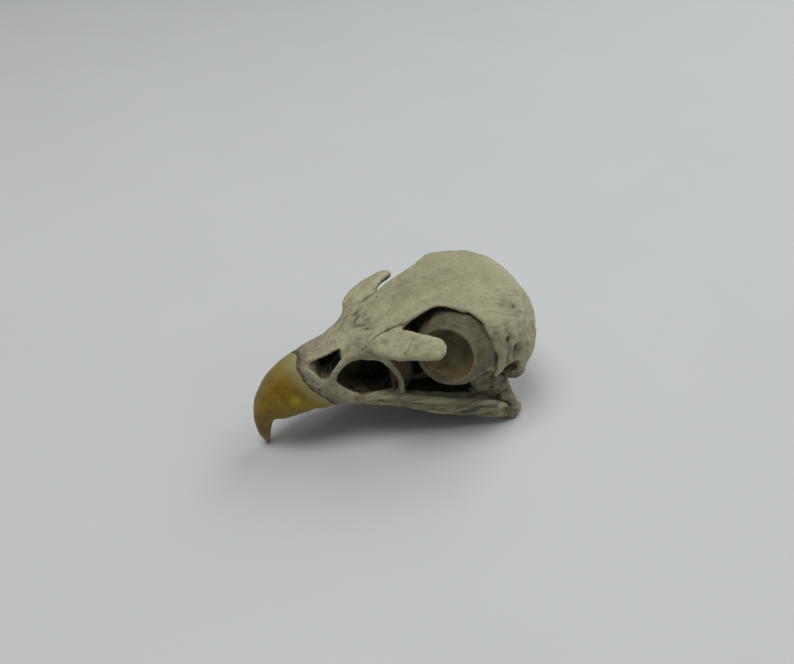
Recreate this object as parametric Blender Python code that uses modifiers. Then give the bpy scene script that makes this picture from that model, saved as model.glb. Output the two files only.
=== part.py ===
"""Hawk skull without its lower jaw, life size, lying on its bill tip and its two quadrate bones.

The tables are in millimetres, and a mesh is made in metres. The bill points to -X, the floor is
Z = 0, the mid-plane is Y = 0 and the bird's left is -Y. The skull rests nose-up, as it lies on a
table: the tables hold that pose, and nothing is turned afterwards. "Out" is the distance from the
mid-plane, so that one table serves both sides.
"""

import math

import bmesh
import bpy
import numpy as np
from mathutils import Matrix, Vector

MM = 0.001
MIDDLE_X = 0.5  # the table's X that lies over the origin, halfway between the bill and the nape
GAP = 0.3  # between neighbouring bones
SIDES = {"left": -1.0, "right": 1.0}
HINGE_X = -13.2  # the thin line between the bill and the forehead

# ---- cranium: closed sections across X, from the hinge to the back of the head ----
# X, half-width, crown, waist (height of the widest level), keel (lowest point), power of the underside
VAULT = (
    (-13.2, 9.2, 33.0, 28.6, 17.2, 1.6),
    (-8.0, 9.2, 35.3, 31.4, 15.8, 1.6),
    (-1.5, 8.7, 38.4, 35.7, 14.0, 1.6),
    (3.5, 8.7, 40.7, 38.5, 12.6, 1.6),
    (7.5, 9.1, 42.2, 40.3, 11.6, 1.6),
    (10.5, 10.5, 43.0, 40.8, 10.9, 1.6),
    (14.0, 14.0, 43.5, 39.6, 10.0, 1.5),
    (17.5, 18.0, 43.8, 36.6, 9.2, 1.5),
    (21.0, 20.2, 43.9, 31.8, 8.4, 1.5),
    (26.0, 20.0, 43.6, 28.0, 7.8, 1.8),
    (31.0, 18.6, 42.0, 25.0, 7.6, 2.1),
    (35.5, 15.7, 38.2, 22.5, 8.4, 2.1),
    (39.0, 12.0, 32.8, 20.8, 10.0, 2.0),
    (41.4, 7.6, 26.9, 20.0, 12.8, 2.0),
    (42.6, 1.2, 21.4, 20.2, 19.0, 2.0),
)
VAULT_SECTIONS, VAULT_RING = 23, 30
CROWN_POWER = 2.25  # a squarer crown than an ellipse
FURROW_DEPTH, FURROW_WIDTH = 0.5, 3.6  # the shallow furrow down the middle of the crown
FURROW_START, FURROW_END = -8.0, 34.0

# ---- orbits: ovals stacked from the wall between the eyes outwards ----
# out, centre X, centre Z, radius X, radius Z
ORBIT = (
    (0.7, 5.6, 27.0, 7.0, 8.6),
    (3.5, 6.6, 27.4, 9.3, 12.2),
    (8.0, 8.4, 27.2, 11.2, 13.8),
    (12.0, 9.4, 26.4, 11.6, 14.6),
    (20.0, 9.4, 25.4, 12.0, 15.4),
    (27.0, 9.4, 25.0, 12.6, 16.0),
)
ORBIT_TILT = -10.0
ORBIT_LEVELS, ORBIT_RING = 7, 24

# ---- lumps joined to the cranium and hollows cut from it: centre X, out, Z, then the radii ----
WING = ((32.4, 12.0, 13.4), (4.2, 3.4, 3.0))  # the flange beside the neck opening
CONDYLE = ((38.4, 0.0, 9.6), (1.5, 1.5, 1.4))
FORAMEN = ((41.6, 0.0, 13.2), (3.4, 3.1, 3.3))
EAR = ((29.0, 17.8, 14.8), (3.2, 5.4, 3.2))
TEMPLE = ((29.4, 21.0, 22.0), (2.8, 5.6, 6.0))

# ---- upper bill: sections fanned round from the hinge to the tip of the hook ----
# culmen X, culmen Z, tomium X, tomium Z, half-width, share of height at the widest level, power
BILL = (
    (-12.6, 33.0, -12.6, 14.6, 10.9, 0.12, 3.0),
    (-16.5, 31.9, -17.0, 14.6, 10.0, 0.14, 2.8),
    (-20.5, 30.8, -21.5, 14.4, 9.2, 0.16, 2.5),
    (-24.5, 29.6, -25.5, 14.2, 8.6, 0.18, 2.1),
    (-28.5, 28.2, -29.0, 14.0, 8.0, 0.16, 1.9),
    (-32.5, 26.4, -32.0, 12.3, 6.9, 0.18, 1.9),
    (-36.0, 23.8, -34.8, 11.6, 5.6, 0.24, 1.9),
    (-38.9, 19.9, -36.6, 10.9, 4.4, 0.32, 1.9),
    (-41.0, 15.2, -37.2, 9.0, 3.3, 0.40, 1.9),
    (-41.6, 10.0, -37.6, 6.4, 2.4, 0.46, 1.9),
    (-41.0, 5.0, -37.9, 3.6, 1.6, 0.5, 1.9),
    (-38.9, 0.0, -38.1, 0.0, 0.5, 0.5, 1.9),
)
BILL_SECTIONS, BILL_RING = 24, 22
TOMIUM_POWER = 4.5
PALATE = ((-24.0, 0.0, 13.0), (10.5, 5.6, 2.6))  # the hollow under the bill
PALATE_GAP = ((-12.6, 6.9, 15.0), (5.4, 2.3, 5.0))  # the opening beside the root of each cheek bar

EDGE_GAP = 0.42  # along X, between the sheath and the bone
# the line where the horn sheath ends: Z, X
SHEATH_EDGE = (
    (9.0, -18.4),
    (15.1, -20.2),
    (17.4, -22.2),
    (21.2, -26.1),
    (24.1, -28.4),
    (27.2, -29.3),
    (29.9, -28.3),
    (36.0, -26.4),
)
# the nostril, a rounded triangle: X, Z
NARIS = ((-27.2, 27.7), (-17.8, 30.2), (-18.9, 28.2), (-21.2, 25.6), (-23.4, 24.2), (-25.4, 25.4))
NARIS_WALL = 1.6  # half the wall left between the two nostrils
FENESTRA = (-11.8, 22.9, 8.9, 5.4)  # the opening in front of the eye: X, Z, radii
FENESTRA_TILT, FENESTRA_RING = -17.0, 24
FENESTRA_WALL = 2.4

# ---- swept bones: X, out, Z, half-breadth, half-height, roll in degrees ----
BROW = (
    (-8.4, 6.6, 32.2, 4.2, 1.5, -6.0),
    (-6.2, 10.2, 33.0, 4.7, 1.8, -12.0),
    (-3.8, 13.4, 33.8, 4.4, 1.8, -22.0),
    (-0.6, 15.9, 34.1, 3.7, 1.6, -28.0),
    (2.6, 17.9, 34.0, 3.3, 1.5, -30.0),
    (5.0, 19.2, 33.8, 2.8, 1.3, -30.0),
    (6.4, 19.9, 33.7, 1.2, 0.7, -30.0),
)
BROW_STRUT = (
    (-8.5, 10.5, 32.4, 1.5, 1.0, 0.0),
    (-6.9, 10.8, 27.6, 1.3, 0.9, 0.0),
    (-5.2, 11.0, 24.8, 1.2, 0.9, 0.0),
    (-3.6, 11.1, 21.9, 1.1, 0.9, 0.0),
    (-2.8, 11.4, 19.0, 1.0, 0.9, 0.0),
    (-2.8, 11.8, 17.5, 1.0, 0.9, 0.0),
)
POSTORBITAL = (
    (19.2, 17.6, 36.0, 1.8, 1.6, 0.0),
    (22.4, 18.5, 31.0, 2.9, 1.6, 0.0),
    (23.8, 19.0, 26.6, 2.1, 1.4, 0.0),
    (23.8, 19.0, 22.8, 1.4, 1.1, 0.0),
    (22.6, 18.8, 19.6, 0.6, 0.5, 0.0),
)
JUGAL = (
    (-12.9, 10.0, 15.4, 1.0, 1.6, 0.0),
    (-6.0, 11.6, 14.4, 1.6, 2.0, 0.0),
    (0.0, 13.1, 13.0, 1.9, 2.2, 0.0),
    (8.0, 15.1, 10.4, 2.0, 2.7, 0.0),
    (15.0, 16.4, 8.4, 2.0, 2.8, 0.0),
    (21.0, 17.6, 6.7, 1.8, 2.8, 0.0),
    (25.4, 18.5, 5.0, 1.5, 2.6, 0.0),
    (27.7, 18.8, 4.2, 0.8, 1.6, 0.0),
)
QUADRATE = (
    (26.8, 14.4, 12.4, 1.4, 1.5, 0.0),
    (28.0, 15.2, 9.4, 1.5, 1.8, 0.0),
    (29.3, 15.9, 6.0, 1.7, 2.2, 0.0),
    (30.1, 16.8, 2.6, 2.3, 2.6, 0.0),
    (30.2, 17.0, -0.4, 1.7, 1.8, 0.0),
)
QUADRATE_SPUR = (  # the flat arm that reaches forward from the quadrate, inside the cheek bar
    (29.0, 15.6, 7.4, 1.2, 2.4, 0.0),
    (24.4, 14.7, 8.8, 1.0, 2.6, 0.0),
    (19.4, 13.8, 10.0, 0.8, 1.9, 0.0),
)
PTERYGOID = (
    (18.2, 3.4, 6.8, 0.9, 0.9, 0.0),
    (21.6, 7.0, 5.8, 1.6, 0.9, 0.0),
    (25.4, 12.0, 4.6, 1.1, 1.1, 0.0),
)
PALATINE = (
    (-18.4, 2.8, 13.4, 1.6, 0.5, 0.0),
    (-8.0, 4.4, 12.2, 3.9, 0.5, 0.0),
    (4.0, 5.3, 9.6, 4.9, 0.6, 0.0),
    (12.0, 5.0, 8.0, 4.5, 0.7, 0.0),
    (15.0, 4.4, 7.4, 3.4, 0.7, 0.0),
    (16.4, 3.2, 6.9, 1.4, 0.7, 0.0),
)

# ---- the bony ring of the eye and the dish inside it: turned about an axis that looks forward and out ----
EYE_CENTRE = (13.0, 11.3, 26.8)  # X, out, Z of the middle of the ring's wide end
EYE_AXIS = (-0.69, 0.695, 0.21)  # X, out, Z
RING_PROFILE = (  # radius, height along the axis
    (9.4, 0.6),
    (8.5, 3.0),
    (7.7, 5.2),
    (7.5, 6.5),
    (8.0, 6.9),
    (8.5, 6.4),
    (9.3, 3.6),
    (10.5, 1.0),
    (10.3, 0.0),
)
CUP_PROFILE = ((0.0, 2.3), (5.6, 2.7), (7.7, 3.8), (7.8, 3.0), (5.6, 1.6), (0.0, 1.2))
TURN_STEPS = 28

BONE, HORN, MEMBRANE = "bone", "horn", "dried_membrane"
COLOURS = {BONE: (0.50, 0.47, 0.36), HORN: (0.55, 0.36, 0.06), MEMBRANE: (0.22, 0.17, 0.09)}
ROUGHNESS = {BONE: 0.65, HORN: 0.3, MEMBRANE: 0.55}


def smooth(table, at):
    """The columns of a table, read at one value of its first column by a shape-keeping cubic."""
    rows = np.asarray(table, float)
    x, y = rows[:, 0], rows[:, 1:]
    step = np.diff(x)[:, None]
    rise = np.diff(y, axis=0) / step
    slope = np.zeros_like(y)
    one, two = 2 * step[1:] + step[:-1], step[1:] + 2 * step[:-1]
    with np.errstate(divide="ignore", invalid="ignore"):
        middle = (one + two) / (one / rise[:-1] + two / rise[1:])
    slope[1:-1] = np.where(rise[:-1] * rise[1:] > 0, middle, 0.0)
    slope[0], slope[-1] = rise[0], rise[-1]
    i = int(np.clip(np.searchsorted(x, at) - 1, 0, len(step) - 1))
    wide = step[i, 0]
    t = (at - x[i]) / wide
    start = y[i] * (1 + 2 * t) * (1 - t) ** 2 + slope[i] * wide * t * (1 - t) ** 2
    return start + y[i + 1] * t**2 * (3 - 2 * t) + slope[i + 1] * wide * t**2 * (t - 1)


def along_rows(rows, sections):
    """The rows of a table, evened out into a smooth run of that many."""
    numbered = [(number, *row) for number, row in enumerate(rows)]
    return [smooth(numbered, at) for at in np.linspace(0, len(rows) - 1, sections)]


def metres(x, y, z):
    """A point of the tables in the scene's own frame."""
    return Vector((x - MIDDLE_X, y, z)) * MM


def power(value, exponent):
    """A sine or cosine bent towards a superellipse of that exponent, which is 2 for a plain ellipse."""
    return math.copysign(abs(value) ** (2.0 / exponent), value)


def outline(half_width, top, waist, bottom, top_power, bottom_power, count):
    """A closed section: (sideways, height) pairs, widest at the waist."""
    points = []
    for step in range(count):
        angle = math.tau * (step + 0.5) / count
        across, up = math.sin(angle), math.cos(angle)
        reach, exponent = (top - waist, top_power) if up > 0 else (waist - bottom, bottom_power)
        points.append((half_width * power(across, exponent), waist + reach * power(up, exponent)))
    return points


def oval(centre, radii, tilt, count):
    """Points round an oval in the X-Z plane."""
    lean = Matrix.Rotation(math.radians(tilt), 2)
    for step in range(count):
        angle = math.tau * step / count
        yield Vector(centre) + lean @ Vector((radii[0] * math.cos(angle), radii[1] * math.sin(angle)))


# ---- scene ----


def clear_scene():
    for obj in list(bpy.data.objects):
        bpy.data.objects.remove(obj, do_unlink=True)


def collection(name, helper=False):
    made = bpy.data.collections.new(name)
    bpy.context.scene.collection.children.link(made)
    made.hide_render = helper
    return made


def material(name, finish):
    made = bpy.data.materials.new(name)
    made.use_nodes = True
    shader = made.node_tree.nodes["Principled BSDF"]
    shader.inputs["Base Color"].default_value = (*COLOURS[finish], 1.0)
    shader.inputs["Roughness"].default_value = ROUGHNESS[finish]
    shader.inputs["Metallic"].default_value = 0.0
    made.diffuse_color = (*COLOURS[finish], 1.0)
    return made


def add(name, mesh, where):
    """Links a mesh as an object. One in the helper collection is drawn as a wire and not rendered."""
    obj = bpy.data.objects.new(name, mesh)
    where.objects.link(obj)
    if where.hide_render:
        obj.hide_render = True
        obj.display_type = "WIRE"
    return obj


def boolean(obj, others, operation="DIFFERENCE"):
    """Adds one exact Boolean for each of the others."""
    for other in others:
        step = obj.modifiers.new(other.name, "BOOLEAN")
        step.operation, step.solver, step.object = operation, "EXACT", other


# ---- ways of making a solid ----


def loft(name, rings, where):
    """A closed solid through rings of (x, y, z) in millimetres, with flat ends."""
    shape = bmesh.new()
    loops = [[shape.verts.new(metres(*point)) for point in ring] for ring in rings]
    for near, far in zip(loops, loops[1:]):
        for i, corner in enumerate(near):
            shape.faces.new((near[i - 1], corner, far[i], far[i - 1]))
    shape.faces.new(loops[0])
    shape.faces.new(loops[-1])
    bmesh.ops.recalc_face_normals(shape, faces=shape.faces)
    mesh = bpy.data.meshes.new(name)
    shape.to_mesh(mesh)
    shape.free()
    return add(name, mesh, where)


def sweep(name, rows, side, where, sections=10, ring=10, squareness=2.4):
    """A bone along a path. Its breadth is level and square to the path until the roll turns it."""
    path = along_rows(rows, sections)
    rings = []
    for i, (x, out, z, breadth, height, roll) in enumerate(path):
        along = Vector(path[min(i + 1, sections - 1)][:3] - path[max(i - 1, 0)][:3]).normalized()
        steep = abs(along.z) > 0.8
        across = Vector((1.0, 0.0, 0.0)) if steep else Vector((-along.y, along.x, 0.0))
        across = (across - along * across.dot(along)).normalized()
        across = Matrix.Rotation(math.radians(roll), 3, along) @ across
        up = along.cross(across)
        points = []
        for step in range(ring):
            angle = math.tau * step / ring
            wide = breadth * power(math.cos(angle), squareness)
            tall = height * power(math.sin(angle), squareness)
            point = Vector((x, out, z)) + across * wide + up * tall
            points.append((point.x, side * point.y, point.z))
        rings.append(points)
    return loft(name, rings, where)


def ellipsoid(name, shape, side, where):
    """A ball stretched to three radii."""
    (x, out, z), radii = shape
    ball = bmesh.new()
    bmesh.ops.create_uvsphere(ball, u_segments=16, v_segments=8, radius=1.0)
    bmesh.ops.scale(ball, verts=ball.verts, vec=Vector(radii) * MM)
    bmesh.ops.translate(ball, verts=ball.verts, vec=metres(x, side * out, z))
    mesh = bpy.data.meshes.new(name)
    ball.to_mesh(mesh)
    ball.free()
    return add(name, mesh, where)


def prism(name, points, near, far, side, where):
    """A solid between two distances from the mid-plane, with an X-Z outline."""
    rings = [[(x, side * out, z) for x, z in points] for out in (near, far)]
    return loft(name, rings, where)


def below_floor(where):
    """All that lies under the floor."""
    corners = [(-60.0, -10.0), (60.0, -10.0), (60.0, 0.0), (-60.0, 0.0)]
    return prism("below_floor", corners, -40.0, 40.0, 1.0, where)


def turned(name, profile, side, where):
    """A solid of revolution about the eye's axis, from (radius, height) pairs."""
    shape = bmesh.new()
    corners = [shape.verts.new((radius * MM, 0.0, height * MM)) for radius, height in profile]
    for start, end in zip(corners, corners[1:]):
        shape.edges.new((start, end))
    if profile[0][0] > 0:
        shape.edges.new((corners[-1], corners[0]))
    mesh = bpy.data.meshes.new(name)
    shape.to_mesh(mesh)
    shape.free()
    obj = add(name, mesh, where)
    spin = obj.modifiers.new("turn", "SCREW")
    spin.steps = spin.render_steps = TURN_STEPS
    spin.use_merge_vertices = True
    spin.merge_threshold = 0.01 * MM
    spin.use_smooth_shade = True
    axis = Vector((EYE_AXIS[0], side * EYE_AXIS[1], EYE_AXIS[2]))
    x, out, z = EYE_CENTRE
    turn = axis.to_track_quat("Z", "Y").to_matrix().to_4x4()
    obj.matrix_world = Matrix.Translation(metres(x, side * out, z)) @ turn
    return obj


# ---- cutters ----


def orbit_cutter(side, where):
    """The eye socket, open outwards and narrow at the wall between the eyes."""
    rings = []
    for out in np.linspace(ORBIT[0][0], ORBIT[-1][0], ORBIT_LEVELS):
        x, z, radius_x, radius_z = smooth(ORBIT, out)
        ring = oval((x, z), (radius_x, radius_z), ORBIT_TILT, ORBIT_RING)
        rings.append([(point.x, side * out, point.y) for point in ring])
    return loft(f"orbit_{side:+.0f}", rings, where)


def fenestra_cutter(side, where):
    """The oval opening in front of the eye. The wall that is left parts it from its fellow."""
    x, z, *radii = FENESTRA
    ring = [tuple(point) for point in oval((x, z), radii, FENESTRA_TILT, FENESTRA_RING)]
    return prism(f"fenestra_{side:+.0f}", ring, FENESTRA_WALL, 16.0, side, where)


def sheath_cutter(name, shift, where):
    """All that lies in front of the sheath's edge, moved along X by the shift."""
    heights = np.linspace(SHEATH_EDGE[0][0], SHEATH_EDGE[-1][0], 18)
    edge = [(float(smooth(SHEATH_EDGE, z)[0]) + shift, z) for z in heights]
    points = [(-50.0, -4.0), (edge[0][0], -4.0), *edge, (-50.0, edge[-1][1])]
    rings = [[(x, y, z) for x, z in points] for y in (-14.0, 14.0)]
    return loft(name, rings, where)


# ---- bones ----


def vault(name, grow, where):
    """The whole head as one loft from the hinge back, made larger all round by the amount to grow."""
    first, last = VAULT[0][0] + GAP / 2 - grow, VAULT[-1][0] + grow
    even = np.linspace(0, 1, VAULT_SECTIONS)
    crowded = (1 - np.cos(even * math.pi)) / 2  # closer sections towards both ends
    rings = []
    for x in first + (last - first) * (even + crowded) / 2:
        half, crown, waist, keel, keel_power = smooth(VAULT, x)
        starting = np.clip((x - FURROW_START) / 10, 0, 1)
        fading = np.clip((FURROW_END - x) / 8, 0, 1)
        section = outline(half + grow, crown + grow, waist, keel - grow, CROWN_POWER, keel_power, VAULT_RING)
        ring = []
        for y, z in section:
            depth = FURROW_DEPTH * starting * fading * math.exp(-((y / FURROW_WIDTH) ** 2))
            ring.append((x, y, z - depth if z > waist else z))
        rings.append(ring)
    return loft(name, rings, where)


def cranium(skull, helpers):
    """The head with its flanges and processes, hollowed for the eyes, ears, temples and spinal cord."""
    bone = vault("cranium", 0.0, skull)
    for side in SIDES.values():
        flange = ellipsoid(f"wing_{side:+.0f}", WING, side, helpers)
        process = sweep(f"postorbital_{side:+.0f}", POSTORBITAL, side, helpers)
        boolean(bone, (flange, process), "UNION")
    boolean(bone, [ellipsoid("condyle", CONDYLE, 1.0, helpers)], "UNION")
    for side in SIDES.values():
        ear = ellipsoid(f"ear_{side:+.0f}", EAR, side, helpers)
        temple = ellipsoid(f"temple_{side:+.0f}", TEMPLE, side, helpers)
        boolean(bone, (orbit_cutter(side, helpers), ear, temple))
    boolean(bone, [ellipsoid("foramen", FORAMEN, 1.0, helpers)])
    return bone


def bill(name, where):
    """The whole upper bill. The bone and the horn sheath are each cut from one of these."""
    rings = []
    for cx, cz, tx, tz, half, waist, top_power in along_rows(BILL, BILL_SECTIONS):
        ring = outline(half, 1.0, waist, 0.0, top_power, TOMIUM_POWER, BILL_RING)
        rings.append([(tx + (cx - tx) * share, y, tz + (cz - tz) * share) for y, share in ring])
    return loft(name, rings, where)


def main():
    clear_scene()
    skull = collection("hawk_skull")
    helpers = collection("helpers", helper=True)
    head = cranium(skull, helpers)
    upper_bill, sheath = bill("upper_bill", skull), bill("bill_sheath", skull)
    boolean(upper_bill, [sheath_cutter("sheath_and_gap", 0.0, helpers)])
    boolean(sheath, [sheath_cutter("sheath_alone", -EDGE_GAP, helpers)], "INTERSECT")
    behind = [(HINGE_X - GAP / 2, -4.0), (10.0, -4.0), (10.0, 50.0), (HINGE_X - GAP / 2, 50.0)]
    boolean(upper_bill, [prism("behind", behind, -14.0, 14.0, 1.0, helpers)])
    for side in SIDES.values():
        opening = fenestra_cutter(side, helpers)
        nostril = prism(f"naris_{side:+.0f}", NARIS, NARIS_WALL, 14.0, side, helpers)
        palate_gap = ellipsoid(f"palate_gap_{side:+.0f}", PALATE_GAP, side, helpers)
        boolean(upper_bill, (opening, nostril, palate_gap))
        boolean(head, [opening])
    around_head, ground = vault("around_head", GAP, helpers), below_floor(helpers)
    roof_of_mouth = ellipsoid("roof_of_mouth", PALATE, 1.0, helpers)
    boolean(upper_bill, [roof_of_mouth])
    boolean(sheath, [roof_of_mouth])
    for name, side in SIDES.items():
        brow = sweep(f"brow_{name}", BROW, side, skull, sections=11, ring=14)
        boolean(brow, [sweep(f"brow_strut_{name}", BROW_STRUT, side, helpers)], "UNION")
        boolean(brow, [around_head])
        sweep(f"jugal_bar_{name}", JUGAL, side, skull, sections=13)
        quadrate = sweep(f"quadrate_{name}", QUADRATE, side, skull)
        boolean(quadrate, [sweep(f"spur_{name}", QUADRATE_SPUR, side, helpers, sections=6)], "UNION")
        boolean(quadrate, [ground])
        sweep(f"pterygoid_{name}", PTERYGOID, side, skull, sections=6)
        sweep(f"palatine_{name}", PALATINE, side, skull)
        turned(f"eye_ring_{name}", RING_PROFILE, side, skull)
        turned(f"eye_cup_{name}", CUP_PROFILE, side, skull)
    for obj in skull.objects:
        finish = HORN if obj.name == "bill_sheath" else MEMBRANE if "cup" in obj.name else BONE
        obj.data.materials.append(material(f"{obj.name}_{finish}", finish))
        obj.data.polygons.foreach_set("use_smooth", [True] * len(obj.data.polygons))


main()
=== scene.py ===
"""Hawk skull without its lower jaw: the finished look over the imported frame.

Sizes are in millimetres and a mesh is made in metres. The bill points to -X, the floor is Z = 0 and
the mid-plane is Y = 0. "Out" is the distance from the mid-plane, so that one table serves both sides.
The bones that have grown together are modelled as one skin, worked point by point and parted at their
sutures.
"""

import logging
import math
from collections.abc import Callable, Iterable, Sequence
from dataclasses import dataclass, field
from enum import Enum
from functools import partial

import bmesh
import bpy
import numpy as np
from mathutils import Matrix, Vector, kdtree, noise
from mathutils.bvhtree import BVHTree


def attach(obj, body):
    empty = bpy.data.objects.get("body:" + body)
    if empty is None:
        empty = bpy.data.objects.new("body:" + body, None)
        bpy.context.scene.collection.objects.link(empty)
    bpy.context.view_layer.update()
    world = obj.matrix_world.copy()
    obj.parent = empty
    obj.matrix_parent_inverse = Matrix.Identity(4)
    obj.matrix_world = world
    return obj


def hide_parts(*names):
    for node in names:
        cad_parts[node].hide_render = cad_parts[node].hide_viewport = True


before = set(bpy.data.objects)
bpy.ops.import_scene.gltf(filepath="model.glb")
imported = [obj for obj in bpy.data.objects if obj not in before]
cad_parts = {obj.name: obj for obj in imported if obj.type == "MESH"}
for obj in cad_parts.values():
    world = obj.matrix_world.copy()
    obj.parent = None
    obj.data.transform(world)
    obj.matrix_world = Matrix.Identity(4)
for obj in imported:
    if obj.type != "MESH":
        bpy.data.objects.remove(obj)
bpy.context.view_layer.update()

log = logging.getLogger("hawk_skull")

MM = 0.001
MIDDLE_X = 0.5  # the tables' X that lies over the origin
SHARP_FROM = 75.0  # the angle from which an edge is shaded as a sharp one, in degrees
Point = tuple[float, float, float]
Rows = tuple[tuple[float, ...], ...]
Colour = tuple[float, float, float]
Solid = bpy.types.Object


class Side(Enum):
    """The two sides of the bird. The value is the sign of Y."""

    LEFT = -1.0
    RIGHT = 1.0

    @property
    def word(self) -> str:
        """The side's name, as the CAD nodes end with it."""
        return self.name.lower()


class Join(Enum):
    """How one shape is combined with another."""

    CUT = "DIFFERENCE"
    KEEP = "INTERSECT"


# ---- numbers along a bone ----


@dataclass(frozen=True)
class Track:
    """A table of sizes, read between its rows by a shape-keeping cubic."""

    rows: Rows

    def at(self, value: float) -> np.ndarray:
        """Reads the other columns at one value of the first.

        Args:
            value: Where to read, in the first column's units.

        Returns:
            The other columns there.
        """
        table = np.asarray(self.rows, float)
        x, y = table[:, 0], table[:, 1:]
        step = np.diff(x)[:, None]
        rise = np.diff(y, axis=0) / step
        slope = np.zeros_like(y)
        one, two = 2 * step[1:] + step[:-1], step[1:] + 2 * step[:-1]
        with np.errstate(divide="ignore", invalid="ignore"):
            middle = (one + two) / (one / rise[:-1] + two / rise[1:])
        slope[1:-1] = np.where(rise[:-1] * rise[1:] > 0, middle, 0.0)
        slope[0], slope[-1] = rise[0], rise[-1]
        i = int(np.clip(np.searchsorted(x, value) - 1, 0, len(step) - 1))
        wide = step[i, 0]
        t = (value - x[i]) / wide
        start = y[i] * (1 + 2 * t) * (1 - t) ** 2 + slope[i] * wide * t * (1 - t) ** 2
        return start + y[i + 1] * t**2 * (3 - 2 * t) + slope[i + 1] * wide * t**2 * (t - 1)

    def run(self, count: int) -> np.ndarray:
        """Evens the rows out to that many, evenly spaced by row number."""
        numbered = Track(tuple((float(i), *row) for i, row in enumerate(self.rows)))
        return np.array([numbered.at(value) for value in np.linspace(0, len(self.rows) - 1, count)])


def rounded(corners: Rows, count: int) -> np.ndarray:
    """A smooth closed outline through some corners.

    Args:
        corners: The corners, in order round the outline.
        count: How many rows to give back.

    Returns:
        That many rows round the outline.
    """
    corners = np.asarray(corners, float)
    rows = []
    for value in np.arange(count) * len(corners) / count:
        i, t = int(value), value % 1.0
        a, b, c, d = (corners[(i + k) % len(corners)] for k in (-1, 0, 1, 2))
        rows.append(b + 0.5 * t * (c - a + t * (2 * a - 5 * b + 4 * c - d + t * (3 * b - a - 3 * c + d))))
    return np.array(rows)


def bent(value: float, exponent: float) -> float:
    """A sine or cosine bent towards a superellipse of that exponent."""
    return math.copysign(abs(value) ** (2.0 / exponent), value)


def section(half: float, top: float, waist: float, bottom: float, powers: tuple[float, float],
            count: int) -> list[tuple[float, float]]:
    """A closed section, widest at the waist.

    Args:
        half: Half the width.
        top: Height of the top.
        waist: Height of the widest level.
        bottom: Height of the bottom.
        powers: Superellipse exponents above and below the waist.
        count: Points round it.

    Returns:
        Pairs of sideways distance and height.
    """
    points = []
    for step in range(count):
        angle = math.tau * (step + 0.5) / count
        across, up = math.sin(angle), math.cos(angle)
        reach, exponent = (top - waist, powers[0]) if up > 0 else (waist - bottom, powers[1])
        points.append((half * bent(across, exponent), waist + reach * bent(up, exponent)))
    return points


def ease(values: np.ndarray, low: float, high: float) -> np.ndarray:
    """A smooth step from 0 at low to 1 at high, which may be the smaller."""
    t = np.clip((values - low) / (high - low), 0, 1)
    return t * t * (3 - 2 * t)


# ---- modelling ----


def linked(name: str, data: bpy.types.ID) -> bpy.types.Object:
    """A new object in the scene."""
    obj = bpy.data.objects.new(name, data)
    bpy.context.scene.collection.objects.link(obj)
    return obj


def meshed(name: str, shape: bmesh.types.BMesh) -> Solid:
    """A new object in the scene, of a shape that is done with."""
    mesh = bpy.data.meshes.new(name)
    shape.to_mesh(mesh)
    shape.free()
    return linked(name, mesh)


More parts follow.
